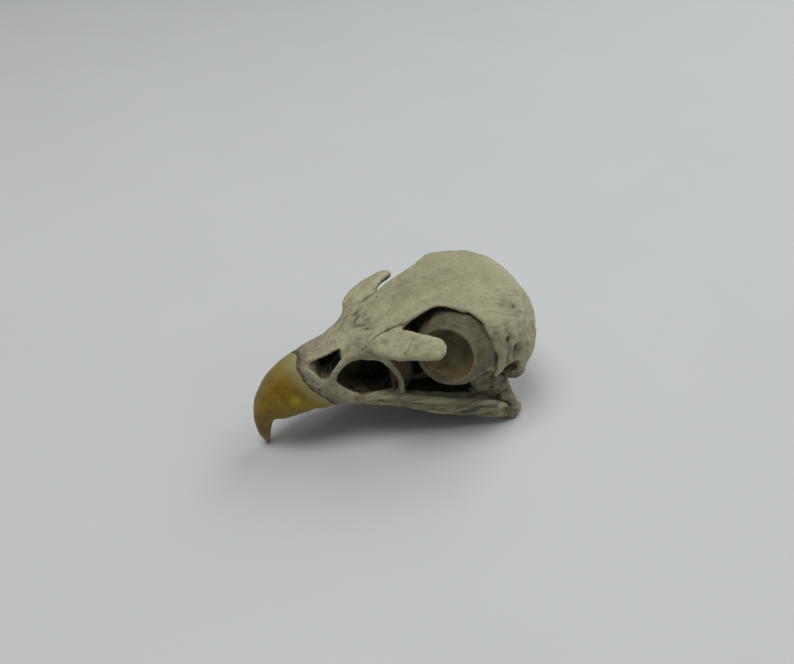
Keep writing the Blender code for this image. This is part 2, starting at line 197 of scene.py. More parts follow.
class Form:
    """A closed shape, modelled with bmesh operators in the tables' millimetres."""

    def __init__(self) -> None:
        """Starts with nothing."""
        self.bm = bmesh.new()

    def loft(self, rings: Sequence[Sequence[Point]], capped: bool = True, endless: bool = False) -> "Form":
        """Bridges a run of rings.

        Args:
            rings: Rings of the same number of points.
            capped: Whether the two ends are closed.
            endless: Whether the last ring is bridged back to the first instead.

        Returns:
            The form itself.
        """
        loops = []
        for ring in rings:
            made = bmesh.ops.create_circle(self.bm, cap_ends=False, segments=len(ring), radius=1.0)
            for vert, point in zip(made["verts"], ring):
                vert.co = point
            loops.append(list({edge for vert in made["verts"] for edge in vert.link_edges}))
        for near, far in zip(loops, loops[1:] + loops[:1] if endless else loops[1:]):
            bmesh.ops.bridge_loops(self.bm, edges=near + far)
        for end in (loops[0], loops[-1]) if capped and not endless else ():
            bmesh.ops.edgeloop_fill(self.bm, edges=end)
        return self

    def ball(self, centre: Point, radii: Point, segments: int = 32) -> "Form":
        """Adds a stretched ball.

        Args:
            centre: Its middle.
            radii: Its three radii.
            segments: Faces round it.

        Returns:
            The form itself.
        """
        place = Matrix.Translation(centre) @ Matrix.Diagonal((*radii, 1.0))
        bmesh.ops.create_uvsphere(self.bm, u_segments=segments, v_segments=segments // 2, radius=1.0,
                                  matrix=place)
        return self

    def prism(self, outline: Sequence[tuple[float, float]], near: float, far: float) -> "Form":
        """Adds an X-Z outline extruded from one Y to another."""
        return self.loft([[(x, y, z) for x, z in outline] for y in (near, far)])

    def turned(self, profile: Sequence[tuple[float, float]], steps: int) -> "Form":
        """Spins a profile about Z.

        Args:
            profile: Pairs of radius and height, round a closed outline or from axis to axis.
            steps: Faces round it.

        Returns:
            The form itself.
        """
        ends_on_axis = profile[0][0] == 0.0
        made = bmesh.ops.create_circle(self.bm, cap_ends=False, segments=len(profile), radius=1.0)
        for vert, (radius, height) in zip(made["verts"], profile):
            vert.co = (radius, 0.0, height)
        if ends_on_axis:
            closing = [e for e in self.bm.edges if all(abs(v.co.x) < 1e-9 for v in e.verts)]
            bmesh.ops.delete(self.bm, geom=closing, context="EDGES_FACES")
        bmesh.ops.spin(self.bm, geom=self.bm.verts[:] + self.bm.edges[:], cent=(0, 0, 0), axis=(0, 0, 1),
                       angle=math.tau, steps=steps, use_merge=True)
        bmesh.ops.remove_doubles(self.bm, verts=self.bm.verts, dist=1e-4)
        return self

    def placed(self, matrix: Matrix) -> "Form":
        """Moves all of it by a matrix."""
        bmesh.ops.transform(self.bm, matrix=matrix, verts=self.bm.verts)
        return self

    def tree(self) -> BVHTree:
        """What finds the nearest point on the form as it is now, with its outward direction."""
        bmesh.ops.recalc_face_normals(self.bm, faces=self.bm.faces)
        return BVHTree.FromBMesh(self.bm)

    def made(self, name: str, side: Side | None = None) -> Solid:
        """Ends the form as an object in the scene's frame.

        Args:
            name: The object's name, without the side.
            side: The side that its name ends with, if it has one.

        Returns:
            The object, linked to the scene.
        """
        bmesh.ops.recalc_face_normals(self.bm, faces=self.bm.faces)
        bmesh.ops.translate(self.bm, verts=self.bm.verts, vec=(-MIDDLE_X, 0.0, 0.0))
        bmesh.ops.scale(self.bm, verts=self.bm.verts, vec=(MM, MM, MM))
        return meshed(f"{name}_{side.word}" if side else name, self.bm)


def oval(centre: tuple[float, float], radii: tuple[float, float], tilt: float, share: float = 1.0,
         count: int = 64) -> list[tuple[float, float]]:
    """A leaning ellipse.

    Args:
        centre: Its middle.
        radii: Its two radii.
        tilt: How far it is turned, in degrees.
        share: How large it is drawn.
        count: Points round it.

    Returns:
        Pairs of coordinates.
    """
    lean = Matrix.Rotation(math.radians(tilt), 2)
    points = []
    for step in range(count):
        angle = math.tau * step / count
        offset = lean @ Vector((radii[0] * math.cos(angle), radii[1] * math.sin(angle))) * share
        points.append((centre[0] + offset.x, centre[1] + offset.y))
    return points


def across_path(at: Point, axes: tuple[Vector, Vector], radii: tuple[float, float], side: Side, count: int,
                squareness: float = 2.0) -> list[Point]:
    """A rounded section across a path.

    Args:
        at: The path's (X, out, Z) there.
        axes: The directions of its breadth and its height.
        radii: Half its breadth and half its height.
        side: Which side of the head.
        count: Points round it.
        squareness: Its superellipse exponent.

    Returns:
        The points.
    """
    points = []
    for step in range(count):
        angle = math.tau * step / count
        wide = radii[0] * bent(math.cos(angle), squareness)
        tall = radii[1] * bent(math.sin(angle), squareness)
        point = Vector(at) + axes[0] * wide + axes[1] * tall
        points.append((point.x, side.value * point.y, point.z))
    return points


def swept(track: Track, side: Side, sections: int = 28, ring: int = 20, squareness: float = 2.2) -> Form:
    """A bone along a path of (X, out, Z, half-breadth, half-height).

    Args:
        track: The path's rows, with the roll in degrees as a sixth number where the bone is rolled.
        side: Which side of the head.
        sections: Rings along it.
        ring: Points round it.
        squareness: The section's superellipse exponent.

    Returns:
        The closed form.
    """
    path = track.run(sections)
    rings = []
    for i, (x, out, z, breadth, height, *roll) in enumerate(path):
        along = Vector(path[min(i + 1, sections - 1)][:3] - path[max(i - 1, 0)][:3]).normalized()
        level = Vector((1.0, 0.0, 0.0)) if abs(along.z) > 0.8 else Vector((-along.y, along.x, 0.0))
        across = (level - along * level.dot(along)).normalized()
        across = Matrix.Rotation(math.radians(roll[0] if roll else 0.0), 3, along) @ across
        axes = across, along.cross(across)
        rings.append(across_path((x, out, z), axes, (breadth, height), side, ring, squareness))
    return Form().loft(rings)


def hoop(corners: Rows, side: Side, sections: int = 72, ring: int = 16) -> Form:
    """A rounded band that runs round an opening in the side of the head.

    Args:
        corners: Its path, as rows of (X, out, Z, half-width, half-thickness).
        side: Which side of the head.
        sections: Rings along it.
        ring: Points round it.

    Returns:
        The endless form.
    """
    path = rounded(corners, sections)
    rings = []
    for i, (x, out, z, wide, thick) in enumerate(path):
        along = Vector(path[(i + 1) % sections][:3] - path[i - 1][:3]).normalized()
        across = along.cross(Vector((0.0, 1.0, 0.0))).normalized()
        rings.append(across_path((x, out, z), (across, across.cross(along)), (wide, thick), side, ring))
    return Form().loft(rings, endless=True)


def settled(obj: Solid) -> Solid:
    """Makes an object's modifiers its mesh.

    Args:
        obj: The object.

    Returns:
        The same object, with a new mesh and no modifiers.
    """
    graph = bpy.context.evaluated_depsgraph_get()
    mesh = bpy.data.meshes.new_from_object(obj.evaluated_get(graph))
    obj.modifiers.clear()
    old, obj.data = obj.data, mesh
    mesh.name = obj.name
    bpy.data.meshes.remove(old)
    return obj


def combined(obj: Solid, how: Join, others: Iterable[Solid]) -> Solid:
    """Cuts an object by others, or keeps what they share, and removes them.

    Args:
        obj: The object that stays.
        how: What is done to it.
        others: The shapes it is done with.

    Returns:
        The object.
    """
    others = list(others)
    for other in others:
        step = obj.modifiers.new(other.name, "BOOLEAN")
        step.operation, step.solver, step.object = how.value, "MANIFOLD", other
    settled(obj)
    for other in others:
        bpy.data.objects.remove(other, do_unlink=True)
    return obj


def parted(whole: Solid, name: str, region: Callable[[], Solid]) -> Solid:
    """Parts one bone from the rest along a suture.

    Args:
        whole: The grown-together bones, which lose the part.
        name: The part's name.
        region: Makes the space that the part fills.

    Returns:
        The part.
    """
    part = whole.copy()
    part.data = whole.data.copy()
    part.name = name
    bpy.context.scene.collection.objects.link(part)
    combined(whole, Join.CUT, [region()])
    return combined(part, Join.KEEP, [region()])


def one_skin(name: str, parts: Iterable[Solid], voxel: float) -> Solid:
    """Melts overlapping solids into one skin.

    Args:
        name: The skin's name.
        parts: The solids, which are removed.
        voxel: The size of the skin's faces, in millimetres.

    Returns:
        The skin.
    """
    gathered = bmesh.new()
    for part in parts:
        gathered.from_mesh(part.data)
        bpy.data.objects.remove(part, do_unlink=True)
    obj = meshed(name, gathered)
    melt = obj.modifiers.new("melt", "REMESH")
    melt.mode, melt.voxel_size, melt.use_smooth_shade = "VOXEL", voxel * MM, True
    return settled(obj)


@dataclass(frozen=True)
class Crease:
    """A groove along a path of (X, out, Z). A ridge has a negative depth."""

    path: Rows
    width: float
    depth: float
    stain: float = 0.0


@dataclass(frozen=True)
class Weld:
    """A joint that is rubbed smooth: a path of (X, out, Z), how far the rubbing reaches, and how often."""

    path: Rows
    reach: float
    rounds: int


class Clay:
    """A mesh worked point by point: pressed, smoothed and stained, in the tables' millimetres."""

    def __init__(self, obj: Solid) -> None:
        """Takes up an object's mesh.

        Args:
            obj: The object.
        """
        self.obj = obj
        mesh = obj.data
        flat = np.empty(len(mesh.vertices) * 3)
        mesh.vertices.foreach_get("co", flat)
        self.points = flat.reshape(-1, 3) / MM + (MIDDLE_X, 0.0, 0.0)
        ends = np.empty(len(mesh.edges) * 2, np.int64)
        mesh.edges.foreach_get("vertices", ends)
        self.ends = ends.reshape(-1, 2)
        self.stain = np.zeros(len(self.points))

    @property
    def folded(self) -> np.ndarray:
        """The points with the right side folded over the left, as (X, out, Z)."""
        x, y, z = self.points.T
        return np.stack((x, np.abs(y), z), axis=1)

    def average(self, values: np.ndarray, rounds: int, ends: np.ndarray | None = None) -> np.ndarray:
        """Blurs values over the surface.

        Args:
            values: One row for each point.
            rounds: How often each point takes its neighbours' mean.
            ends: The edges to blur along, if not all of them.

        Returns:
            The blurred values.
        """
        a, b = (self.ends if ends is None else ends).T
        columns = (values[:, None] if values.ndim == 1 else values).astype(float)
        count = len(columns)
        valence = np.maximum(np.bincount(a, minlength=count) + np.bincount(b, minlength=count), 1)
        for _ in range(rounds):
            sums = np.stack([np.bincount(a, column[b], count) + np.bincount(b, column[a], count)
                             for column in columns.T], axis=1)
            columns = 0.5 * columns + 0.5 * sums / valence[:, None]
        return columns[:, 0] if values.ndim == 1 else columns

    def relax(self, rounds: int, swell: float = 1.04) -> None:
        """Smooths the surface and swells it by about as much as that shrinks it."""
        for _ in range(rounds):
            self.points = self.average(self.points, 2)
            self.points += swell * (self.points - self.average(self.points, 2))

    def weld(self, welds: Iterable[Weld]) -> None:
        """Rubs some joints smooth.

        Args:
            welds: The joints.
        """
        for weld in welds:
            share = ease(self.distance(weld.path, weld.reach), weld.reach, 0.4 * weld.reach)
            near = share > 0
            number = np.cumsum(near) - 1
            ends = number[self.ends[near[self.ends].all(axis=1)]]
            share, patch = share[near, None], self.points[near]
            for _ in range(weld.rounds):
                patch = patch + share * (self.average(patch, 1, ends) - patch)
            self.points[near] = patch

    def store(self) -> None:
        """Writes the points back to the mesh."""
        place = (self.points - (MIDDLE_X, 0.0, 0.0)) * MM
        self.obj.data.vertices.foreach_set("co", place.ravel())
        self.obj.data.update()

    def normals(self) -> np.ndarray:
        """The outward direction at each point."""
        self.store()
        flat = np.empty(len(self.points) * 3)
        self.obj.data.vertex_normals.foreach_get("vector", flat)
        return flat.reshape(-1, 3)

    def push(self, amount: np.ndarray) -> None:
        """Moves each point out by its amount."""
        self.points = self.points + self.normals() * amount[:, None]

    def distance(self, path: Rows, reach: float) -> np.ndarray:
        """How far each point is from a path laid on the surface.

        Args:
            path: The path's (X, out, Z) rows.
            reach: About how far from the path matters.

        Returns:
            The distances, which are large where they don't matter.
        """
        places = np.asarray(path, float)
        if len(path) > 1:
            length = sum(math.dist(a, b) for a, b in zip(path, path[1:]))
            places = Track(path).run(max(3, int(length / 0.9)))
        folded = self.folded
        margin = 3 * reach + 1.5
        near = ((folded > places.min(0) - margin) & (folded < places.max(0) + margin)).all(axis=1)
        distances = np.full(len(folded), 1e3)
        if not near.any():
            return distances
        cloud = folded[near]
        laid = np.array([cloud[np.argmin(((cloud - place) ** 2).sum(1))] for place in places])
        for _ in range(2):
            laid[1:-1] = 0.25 * laid[:-2] + 0.5 * laid[1:-1] + 0.25 * laid[2:]
        best = ((cloud - laid[0]) ** 2).sum(1)
        for a, b in zip(laid, laid[1:]):
            way = b - a
            share = np.clip((cloud - a) @ way / max(way @ way, 1e-9), 0, 1)
            best = np.minimum(best, ((cloud - a - share[:, None] * way) ** 2).sum(1))
        distances[near] = np.sqrt(best)
        return distances

    def grain(self, size: float, seed: float, octaves: float = 3.0,
              stretch: Point = (1, 1, 1)) -> np.ndarray:
        """Smooth random values, from about -1 to 1.

        Args:
            size: The size of the largest lumps, in millimetres.
            seed: Another seed gives other lumps.
            octaves: How many finer layers are added.
            stretch: How much longer the lumps are along each axis.

        Returns:
            One value for each point.
        """
        at = self.points / (size * np.asarray(stretch)) + seed
        return np.array([noise.fractal(Vector(place), 1.0, 2.0, octaves) for place in at])

    def work(self, marks: Iterable[Crease], wander: float = 0.25) -> None:
        """Presses marks into the surface, and notes the dirt that they hold.

        Args:
            marks: Grooves and ridges. A mark of one point is a round hollow or lump.
            wander: How unevenly they run.
        """
        uneven = 1 + wander * self.grain(1.5, 21.0, 2.0)
        amount = np.zeros(len(self.points))
        for mark in marks:
            away = self.distance(mark.path, mark.width) * uneven
            amount -= mark.depth * np.exp(-((away / mark.width) ** 2))
            self.stain = np.maximum(self.stain, mark.stain * np.exp(-((away / (1.25 * mark.width)) ** 2)))
        self.push(amount)

    def paint(self, name: str, values: np.ndarray) -> None:
        """Keeps values on the mesh, for its material to read."""
        layer = self.obj.data.attributes.new(name, "FLOAT", "POINT")
        layer.data.foreach_set("value", np.clip(values, 0, 1).astype(np.float32))

    def dirt_and_highlights(self) -> dict[str, np.ndarray]:
        """Finds where dirt gathers, where convex edges take a painted highlight and where stains lie.

        Returns:
            The values by the name that a material reads them by.
        """
        normals = self.normals()
        fine = ((self.average(self.points, 6) - self.points) * normals).sum(1)
        broad = ((self.average(self.points, 50) - self.points) * normals).sum(1)
        return {"crevice": ease(fine, 0.01, 0.12) * 0.6 + ease(broad, 0.05, 0.7) * 0.55,
                # painted highlight: convex places are made lighter
                "rubbed": ease(-fine, 0.01, 0.09) * 0.5 + ease(-broad, 0.05, 0.55) * 0.6,
                "stain": self.stain}

    def sheltered(self, reach: float, every: int = 3) -> np.ndarray:
        """Finds how far each point is shut in by what stands round it.

        Args:
            reach: How far off a wall still counts, in millimetres.
            every: One point in so many is measured, and the others take after it.

        Returns:
            One value for each point: 0 in the open, 1 where every way out is barred.
        """
        normals = self.normals()
        faces = BVHTree.FromPolygons([tuple(point) for point in self.points],
                                     [tuple(face.vertices) for face in self.obj.data.polygons])
        # nine ways out, turned on by the golden angle of 2.4 and steep, middling and flat by turns
        ways = [Vector((math.cos(2.4 * i), math.sin(2.4 * i), 0.45 + 0.3 * (i % 3))).normalized()
                for i in range(9)]
        known = np.arange(0, len(self.points), every)
        shut = np.zeros(len(self.points))
        for i in known:
            normal = Vector(normals[i])
            turn = normal.to_track_quat("Z", "Y")
            start = Vector(self.points[i]) + 0.05 * normal
            hits = [faces.ray_cast(start, turn @ way, reach)[0] for way in ways]
            shut[i] = sum(hit is not None for hit in hits) / len(ways)
        weight = np.zeros(len(self.points))
        weight[known] = 1.0
        return self.average(shut, 6) / np.maximum(self.average(weight, 6), 1e-6)

    def paint_all(self, values: dict[str, np.ndarray]) -> None:
        """Keeps each of some values on the mesh."""
        for name, value in values.items():
            self.paint(name, value)

    def places(self) -> kdtree.KDTree:
        """Sorts the points, as they are now, so that the nearest is quickly found.

        Returns:
            What finds them.
        """
        places = kdtree.KDTree(len(self.points))
        for i, point in enumerate(self.points):
            places.insert(Vector(point), i)
        places.balance()
        return places

    def paint_like(self, places: kdtree.KDTree, values: dict[str, np.ndarray]) -> None:
        """Keeps on the mesh the values that its nearest points had before it was parted."""
        nearest = np.array([places.find(Vector(point))[1] for point in self.points])
        self.paint_all({name: value[nearest] for name, value in values.items()})


# ---- materials ----


class Signal:
    """A number that varies over a surface. Arithmetic on it adds Math nodes."""

    def __init__(self, bench: "Bench", socket: bpy.types.NodeSocket) -> None:
        """Wraps an output socket."""
        self.bench = bench
        self.socket = socket

    def _math(self, operation: str, *values: "Signal | float", clamp: bool = False) -> "Signal":
        """Adds one Math node over some values."""
        node = self.bench.node("ShaderNodeMath", {"operation": operation, "use_clamp": clamp},
                               dict(enumerate(values)))
        return Signal(self.bench, node.outputs[0])

    def __add__(self, other: "Signal | float") -> "Signal":
        """self + other."""
        return self._math("ADD", self, other)

    def __radd__(self, other: float) -> "Signal":
        """other + self."""
        return self._math("ADD", other, self)

    def __sub__(self, other: "Signal | float") -> "Signal":
        """self - other."""
        return self._math("SUBTRACT", self, other)

    def __rsub__(self, other: float) -> "Signal":
        """other - self."""
        return self._math("SUBTRACT", other, self)

    def __mul__(self, other: "Signal | float") -> "Signal":
        """self * other."""
        return self._math("MULTIPLY", self, other)

    def __rmul__(self, other: float) -> "Signal":
        """other * self."""
        return self._math("MULTIPLY", other, self)

    def clamped(self) -> "Signal":
        """The value, held between 0 and 1."""
        return self._math("ADD", self, 0.0, clamp=True)

    def step(self, low: float, high: float) -> "Signal":
        """A smooth step from 0 at low to 1 at high.

        Args:
            low: Where it starts.
            high: Where it ends, above low.

        Returns:
            The stepped value.
        """
        node = self.bench.node("ShaderNodeMapRange", {"interpolation_type": "SMOOTHSTEP"},
                               {"Value": self, "From Min": low, "From Max": high})
        return Signal(self.bench, node.outputs["Result"])


class Bench:
    """One material while its nodes are put together."""

    def __init__(self, name: str) -> None:
        """Starts a material with a Principled shader and coordinates in millimetres.

        Args:
            name: The material's name.
        """
        self.material = bpy.data.materials.new(name)
        self.material.use_nodes = True
        self.tree = self.material.node_tree
        self.shader = self.tree.nodes["Principled BSDF"]
        self.where = self.node("ShaderNodeMapping", {"vector_type": "POINT"}, {
            "Vector": self.node("ShaderNodeTexCoord", {}, {}).outputs["Object"],
            "Scale": (1 / MM, 1 / MM, 1 / MM)}).outputs["Vector"]

    def node(self, kind: str, settings: dict, inputs: dict) -> bpy.types.Node:
        """Adds any node.

        Args:
            kind: The node's type.
            settings: Its own properties, such as an operation or data type.
            inputs: Values or links of its sockets, by name or number.

        Returns:
            The node.
        """
        node = self.tree.nodes.new(kind)
        for name, value in settings.items():
            setattr(node, name, value)
        for name, value in inputs.items():
            self.feed(node.inputs[name], value)
        return node

    def feed(self, socket: bpy.types.NodeSocket, value: object) -> None:
        """Links a signal or a socket to an input, or sets the input's value.

        Args:
            socket: The input.
            value: What it is given.
        """
        if isinstance(value, Signal):
            value = value.socket
        if isinstance(value, bpy.types.NodeSocket):
            self.tree.links.new(value, socket)
        elif socket.type == "RGBA" and len(value) == 3:
            socket.default_value = (*value, 1.0)
        else:
            socket.default_value = value

    def attribute(self, name: str) -> Signal:
        """What Clay.paint kept under that name."""
        return Signal(self, self.node("ShaderNodeAttribute", {"attribute_name": name}, {}).outputs["Fac"])

    def axis(self, name: str) -> Signal:
        """One coordinate, X, Y or Z, in millimetres."""
        return Signal(self, self.node("ShaderNodeSeparateXYZ", {}, {"Vector": self.where}).outputs[name])

    def stretched(self, scale: Point, turn: float = 0.0) -> bpy.types.NodeSocket:
        """The coordinates, scaled along each axis after a turn about Y in degrees."""
        turned = self.node("ShaderNodeMapping", {"vector_type": "POINT"},
                           {"Vector": self.where, "Rotation": (0.0, math.radians(turn), 0.0)})
        return self.node("ShaderNodeMapping", {"vector_type": "POINT"},
                         {"Vector": turned.outputs["Vector"], "Scale": scale}).outputs["Vector"]

    def clouds(self, size: float, seed: float, detail: float = 4.0, rough: float = 0.55,
               where: bpy.types.NodeSocket | None = None) -> Signal:
        """Noise from 0 to 1.

        Args:
            size: The size of its lumps, in millimetres.
            seed: Another seed gives other lumps.
            detail: How many finer layers it has.
            rough: How strong the finer layers are.
            where: Other coordinates to read it at.

        Returns:
            The noise.
        """
        node = self.node("ShaderNodeTexNoise", {"noise_dimensions": "4D"}, {
            "Vector": where or self.where, "W": seed, "Scale": 1 / size, "Detail": detail,
            "Roughness": rough})
        return Signal(self, node.outputs["Fac"])

    def cells(self, size: float) -> Signal:
        """The distance to the nearest of scattered points, about that many millimetres apart."""
        node = self.node("ShaderNodeTexVoronoi", {}, {"Vector": self.where, "Scale": 1 / size})
        return Signal(self, node.outputs["Distance"])

    def blend(self, share: Signal, first: object, second: object) -> bpy.types.NodeSocket:
        """Two colours mixed, the second by its share."""
        node = self.node("ShaderNodeMix", {"data_type": "RGBA", "clamp_factor": True},
                         {0: share, 6: first, 7: second})
        return node.outputs[2]

    def finish(self, colour: object, rough: Signal, height: Signal, depth: float) -> bpy.types.Material:
        """Feeds the shader.

        Args:
            colour: The base colour's socket.
            rough: The roughness.
            height: Relief from 0 to 1.
            depth: What a relief of 1 stands for, in millimetres.

        Returns:
            The finished material.
        """
        bump = self.node("ShaderNodeBump", {}, {"Height": height, "Distance": depth * MM, "Strength": 1.0})
        self.feed(self.shader.inputs["Base Color"], colour)
        self.feed(self.shader.inputs["Roughness"], rough)
        self.feed(self.shader.inputs["Normal"], bump.outputs["Normal"])
        return self.material


@dataclass(frozen=True)
class BoneFinish:
    """Dry bone, cream to olive, mottled grey; brown dirt in its hollows, rust-brown depths, painted light
    and shade.
    """

    name: str = "dry_bone"
    cream: Colour = (0.38, 0.365, 0.225)
    olive: Colour = (0.26, 0.25, 0.145)
    grey: Colour = (0.14, 0.135, 0.098)
    tan: Colour = (0.22, 0.185, 0.13)
    # dirt is also the colour of the painted shade in sheltered places
    dirt: Colour = (0.070, 0.056, 0.034)
    soot: Colour = (0.022, 0.018, 0.012)
    rust: Colour = (0.13, 0.085, 0.032)
    orange: Colour = (0.42, 0.23, 0.08)  # the rust high up in the eye socket
    # painted shade deep inside the head
    black: Colour = (0.008, 0.007, 0.005)
    mottle: float = 1.0  # how strong the grey patches are
    relief: float = 0.22  # depth of the fine texture, in millimetres
    refraction: float = 1.45
    shine: float = 0.36

    def material(self) -> bpy.types.Material:
        """Builds the material.

        Returns:
            The material, which reads the dirt, highlights and stains that Clay finds, "shade", how sheltered
            a place is, for dirt and painted shade, and "deep", how far inside the head it is, for dirt and
            rust that go black as painted shade.
        """
        b = Bench(self.name)
        crevice, rubbed, stain = b.attribute("crevice"), b.attribute("rubbed"), b.attribute("stain")
        deep, shade = b.attribute("deep"), b.attribute("shade")
        large, middle = b.clouds(8.0, 1.0), b.clouds(2.4, 2.0, 6.0, 0.62)
        small = b.clouds(0.5, 3.0, 5.0, 0.65)
        fibres = b.clouds(1.0, 4.0, 4.0, 0.6, b.stretched((0.20, 1.5, 1.5), -24.0))
        bill = (1 - b.axis("X").step(-23.0, -15.0)) * (0.35 + 0.9 * middle)
        pores = (1 - b.cells(0.9).step(0.10, 0.26)) * (b.clouds(5.0, 5.0).step(0.5, 0.62) + bill).clamped()
        # cream and olive bone, tan on the bill
        tone = b.blend((large * 0.6 + middle * 0.5 - 0.05).step(0.30, 0.70), self.cream, self.olive)
        tone = b.blend(bill * 0.75, tone, self.tan)
        tone = b.blend(b.axis("Z").step(37.0, 43.0) * 0.45, tone, self.olive)
        # painted light: the rear of the head made lighter, towards cream
        tone = b.blend(b.axis("X").step(26.0, 34.0) * (0.3 + 0.6 * middle), tone, self.cream)
        # grey patches, threads and specks, and a painted highlight on convex edges
        crown = b.axis("Z").step(33.0, 39.0)
        patches = middle.step(0.48, 0.70) * large.step(0.36, 0.60) * (1 - 0.6 * crown)
        tone = b.blend(patches * (0.80 * self.mottle), tone, self.grey)
        tone = b.blend(fibres.step(0.48, 0.70) * 0.48, tone, self.grey)
        tone = b.blend(small.step(0.55, 0.75) * 0.40, tone, self.grey)
        # painted highlight: convex edges blended towards cream
        tone = b.blend(rubbed * (0.30 + 0.60 * small), tone, self.cream)
        # dirt in the hollows and pores, and dirt with painted shade in the shelter of other bones
        grime = (crevice * (0.40 + 1.0 * middle) + crevice * small * 0.5).clamped()
        tone = b.blend(grime.step(0.06, 1.0), tone, self.dirt)
        tone = b.blend((grime - 0.62) * 1.8, tone, self.soot)
        sheltered = (shade + 0.35 * middle + 0.25 * small - 0.30).step(0.12, 0.85)
        tone = b.blend(sheltered * 0.92, tone, self.dirt)
        tone = b.blend(stain * (0.2 + 1.3 * small), tone, self.dirt)
        tone = b.blend((stain - 0.55) * (1.6 * middle), tone, self.soot)
        tone = b.blend(pores * 0.55, tone, self.dirt)
        # the inside of the head: dirt and rust, going black as painted shade where it lies deepest
        rusty = (1 - small.step(0.35, 0.65)) * b.axis("X").step(-17.5, -15.0)
        rust = b.blend(b.axis("Z").step(31.0, 35.0), self.rust, self.orange)
        depths = b.blend(deep.step(0.35, 0.85), b.blend(rusty, self.dirt, rust), self.black)
        tone = b.blend(deep.step(0.03, 0.45), tone, depths)
        height = 0.30 * middle + 0.35 * small + 0.45 * fibres - 0.5 * pores
        b.feed(b.shader.inputs["IOR"], self.refraction)
        b.feed(b.shader.inputs["Specular IOR Level"], self.shine)
        return b.finish(tone, 0.50 + 0.22 * small + 0.10 * crevice, height, self.relief)


STAINED_BONE = BoneFinish("stained_bone", cream=(0.36, 0.34, 0.225), olive=(0.235, 0.22, 0.14), mottle=1.3,
                          relief=0.2)
RING_BONE = BoneFinish("ring_bone", cream=(0.19, 0.17, 0.098), olive=(0.060, 0.053, 0.026),
                       grey=(0.033, 0.029, 0.016), relief=0.18)


@dataclass(frozen=True)
class HornFinish:
    """Amber horn, glossy, paler and greener towards its rear edge, with fine lengthwise streaks."""

    name: str = "amber_horn"
    amber: Colour = (0.225, 0.134, 0.001)
    brown: Colour = (0.118, 0.064, 0.002)
    yellow: Colour = (0.36, 0.25, 0.002)
    green: Colour = (0.19, 0.175, 0.018)
    pale: Colour = (0.235, 0.225, 0.085)
    tip: Colour = (0.22, 0.20, 0.085)
    dirt: Colour = (0.05, 0.038, 0.018)
    refraction: float = 1.54
    shine: float = 0.24
    coat: float = 0.04
    coat_rough: float = 0.14
    relief: float = 0.08

    def material(self) -> bpy.types.Material:
        """Builds the material.

        Returns:
            The material, which reads what the sheath paints on itself.
        """
        b = Bench(self.name)
        behind, culmen, bright = b.attribute("behind"), b.attribute("culmen"), b.attribute("bright")
        large, middle, small = b.clouds(5.0, 1.0), b.clouds(1.6, 2.0), b.clouds(0.35, 3.0)
        lines = b.node("ShaderNodeCombineXYZ", {}, {
            "X": b.attribute("along") * 2.5, "Y": b.attribute("across") * 24.0, "Z": 0.0}).outputs["Vector"]
        streaks = b.clouds(1.0, 7.0, 4.0, 0.6, lines)
        tone = b.blend((large * 0.7 + middle * 0.4 - 0.05).step(0.38, 0.66), self.amber, self.brown)
        tone = b.blend(bright * (0.6 + 0.5 * middle), tone, self.yellow)
        tone = b.blend(streaks.step(0.48, 0.72) * 0.22, tone, self.pale)
        tone = b.blend(b.attribute("low") * (0.4 + 0.6 * middle), tone, self.green)
        tone = b.blend((behind + middle * 0.45 - 0.30) * 0.9, tone, self.pale)
        tone = b.blend(culmen * (0.15 + 0.5 * streaks), tone, self.pale)
        tone = b.blend(b.attribute("tipward") * 0.75, tone, self.tip)
        tone = b.blend(b.attribute("crevice") * 0.7, tone, self.dirt)
        for name, value in (("IOR", self.refraction), ("Specular IOR Level", self.shine),
                            ("Coat Weight", self.coat), ("Coat Roughness", self.coat_rough)):
            b.feed(b.shader.inputs[name], value)
        height = 0.6 * streaks + 0.2 * small + 0.3 * middle
        return b.finish(tone, 0.34 + 0.16 * small + 0.14 * behind, height, self.relief)


@dataclass(frozen=True)
class MembraneFinish:
    """Dried brown membrane and dust, darker in broad patches, with a rusty band at its edge."""

    name: str = "dried_membrane"
    olive: Colour = (0.105, 0.088, 0.040)
    brown: Colour = (0.055, 0.042, 0.018)
    rust: Colour = (0.17, 0.105, 0.035)
    dust: Colour = (0.26, 0.23, 0.15)

    def material(self) -> bpy.types.Material:
        """Builds the material.

        Returns:
            The material, which reads the dish's own "rim".
        """
        b = Bench(self.name)
        large, small = b.clouds(3.0, 1.0), b.clouds(0.45, 2.0, 5.0, 0.65)
        tone = b.blend(large.step(0.35, 0.66), self.olive, self.brown)
        tone = b.blend(b.attribute("rim") * small.step(0.3, 0.6) * 0.8, tone, self.rust)
        tone = b.blend(small.step(0.58, 0.72) * 0.45, tone, self.dust)
        return b.finish(tone, 0.62 + 0.2 * small, 0.6 * small + 0.4 * large, 0.16)


@dataclass(frozen=True)
class PaperFinish:
    """The plain pale floor."""

    name: str = "pale_floor"
    colour: Colour = (0.50, 0.515, 0.52)

    def material(self) -> bpy.types.Material:
        """Builds the material."""
        b = Bench(self.name)
        faint = b.clouds(60.0, 1.0, 2.0)
        tone = b.blend(faint.step(0.3, 0.7), self.colour, tuple(0.98 * c for c in self.colour))
        return b.finish(tone, 0.75 + 0.05 * faint, b.clouds(1.2, 2.0), 0.02)


# ---- the skull's sub-assemblies ----


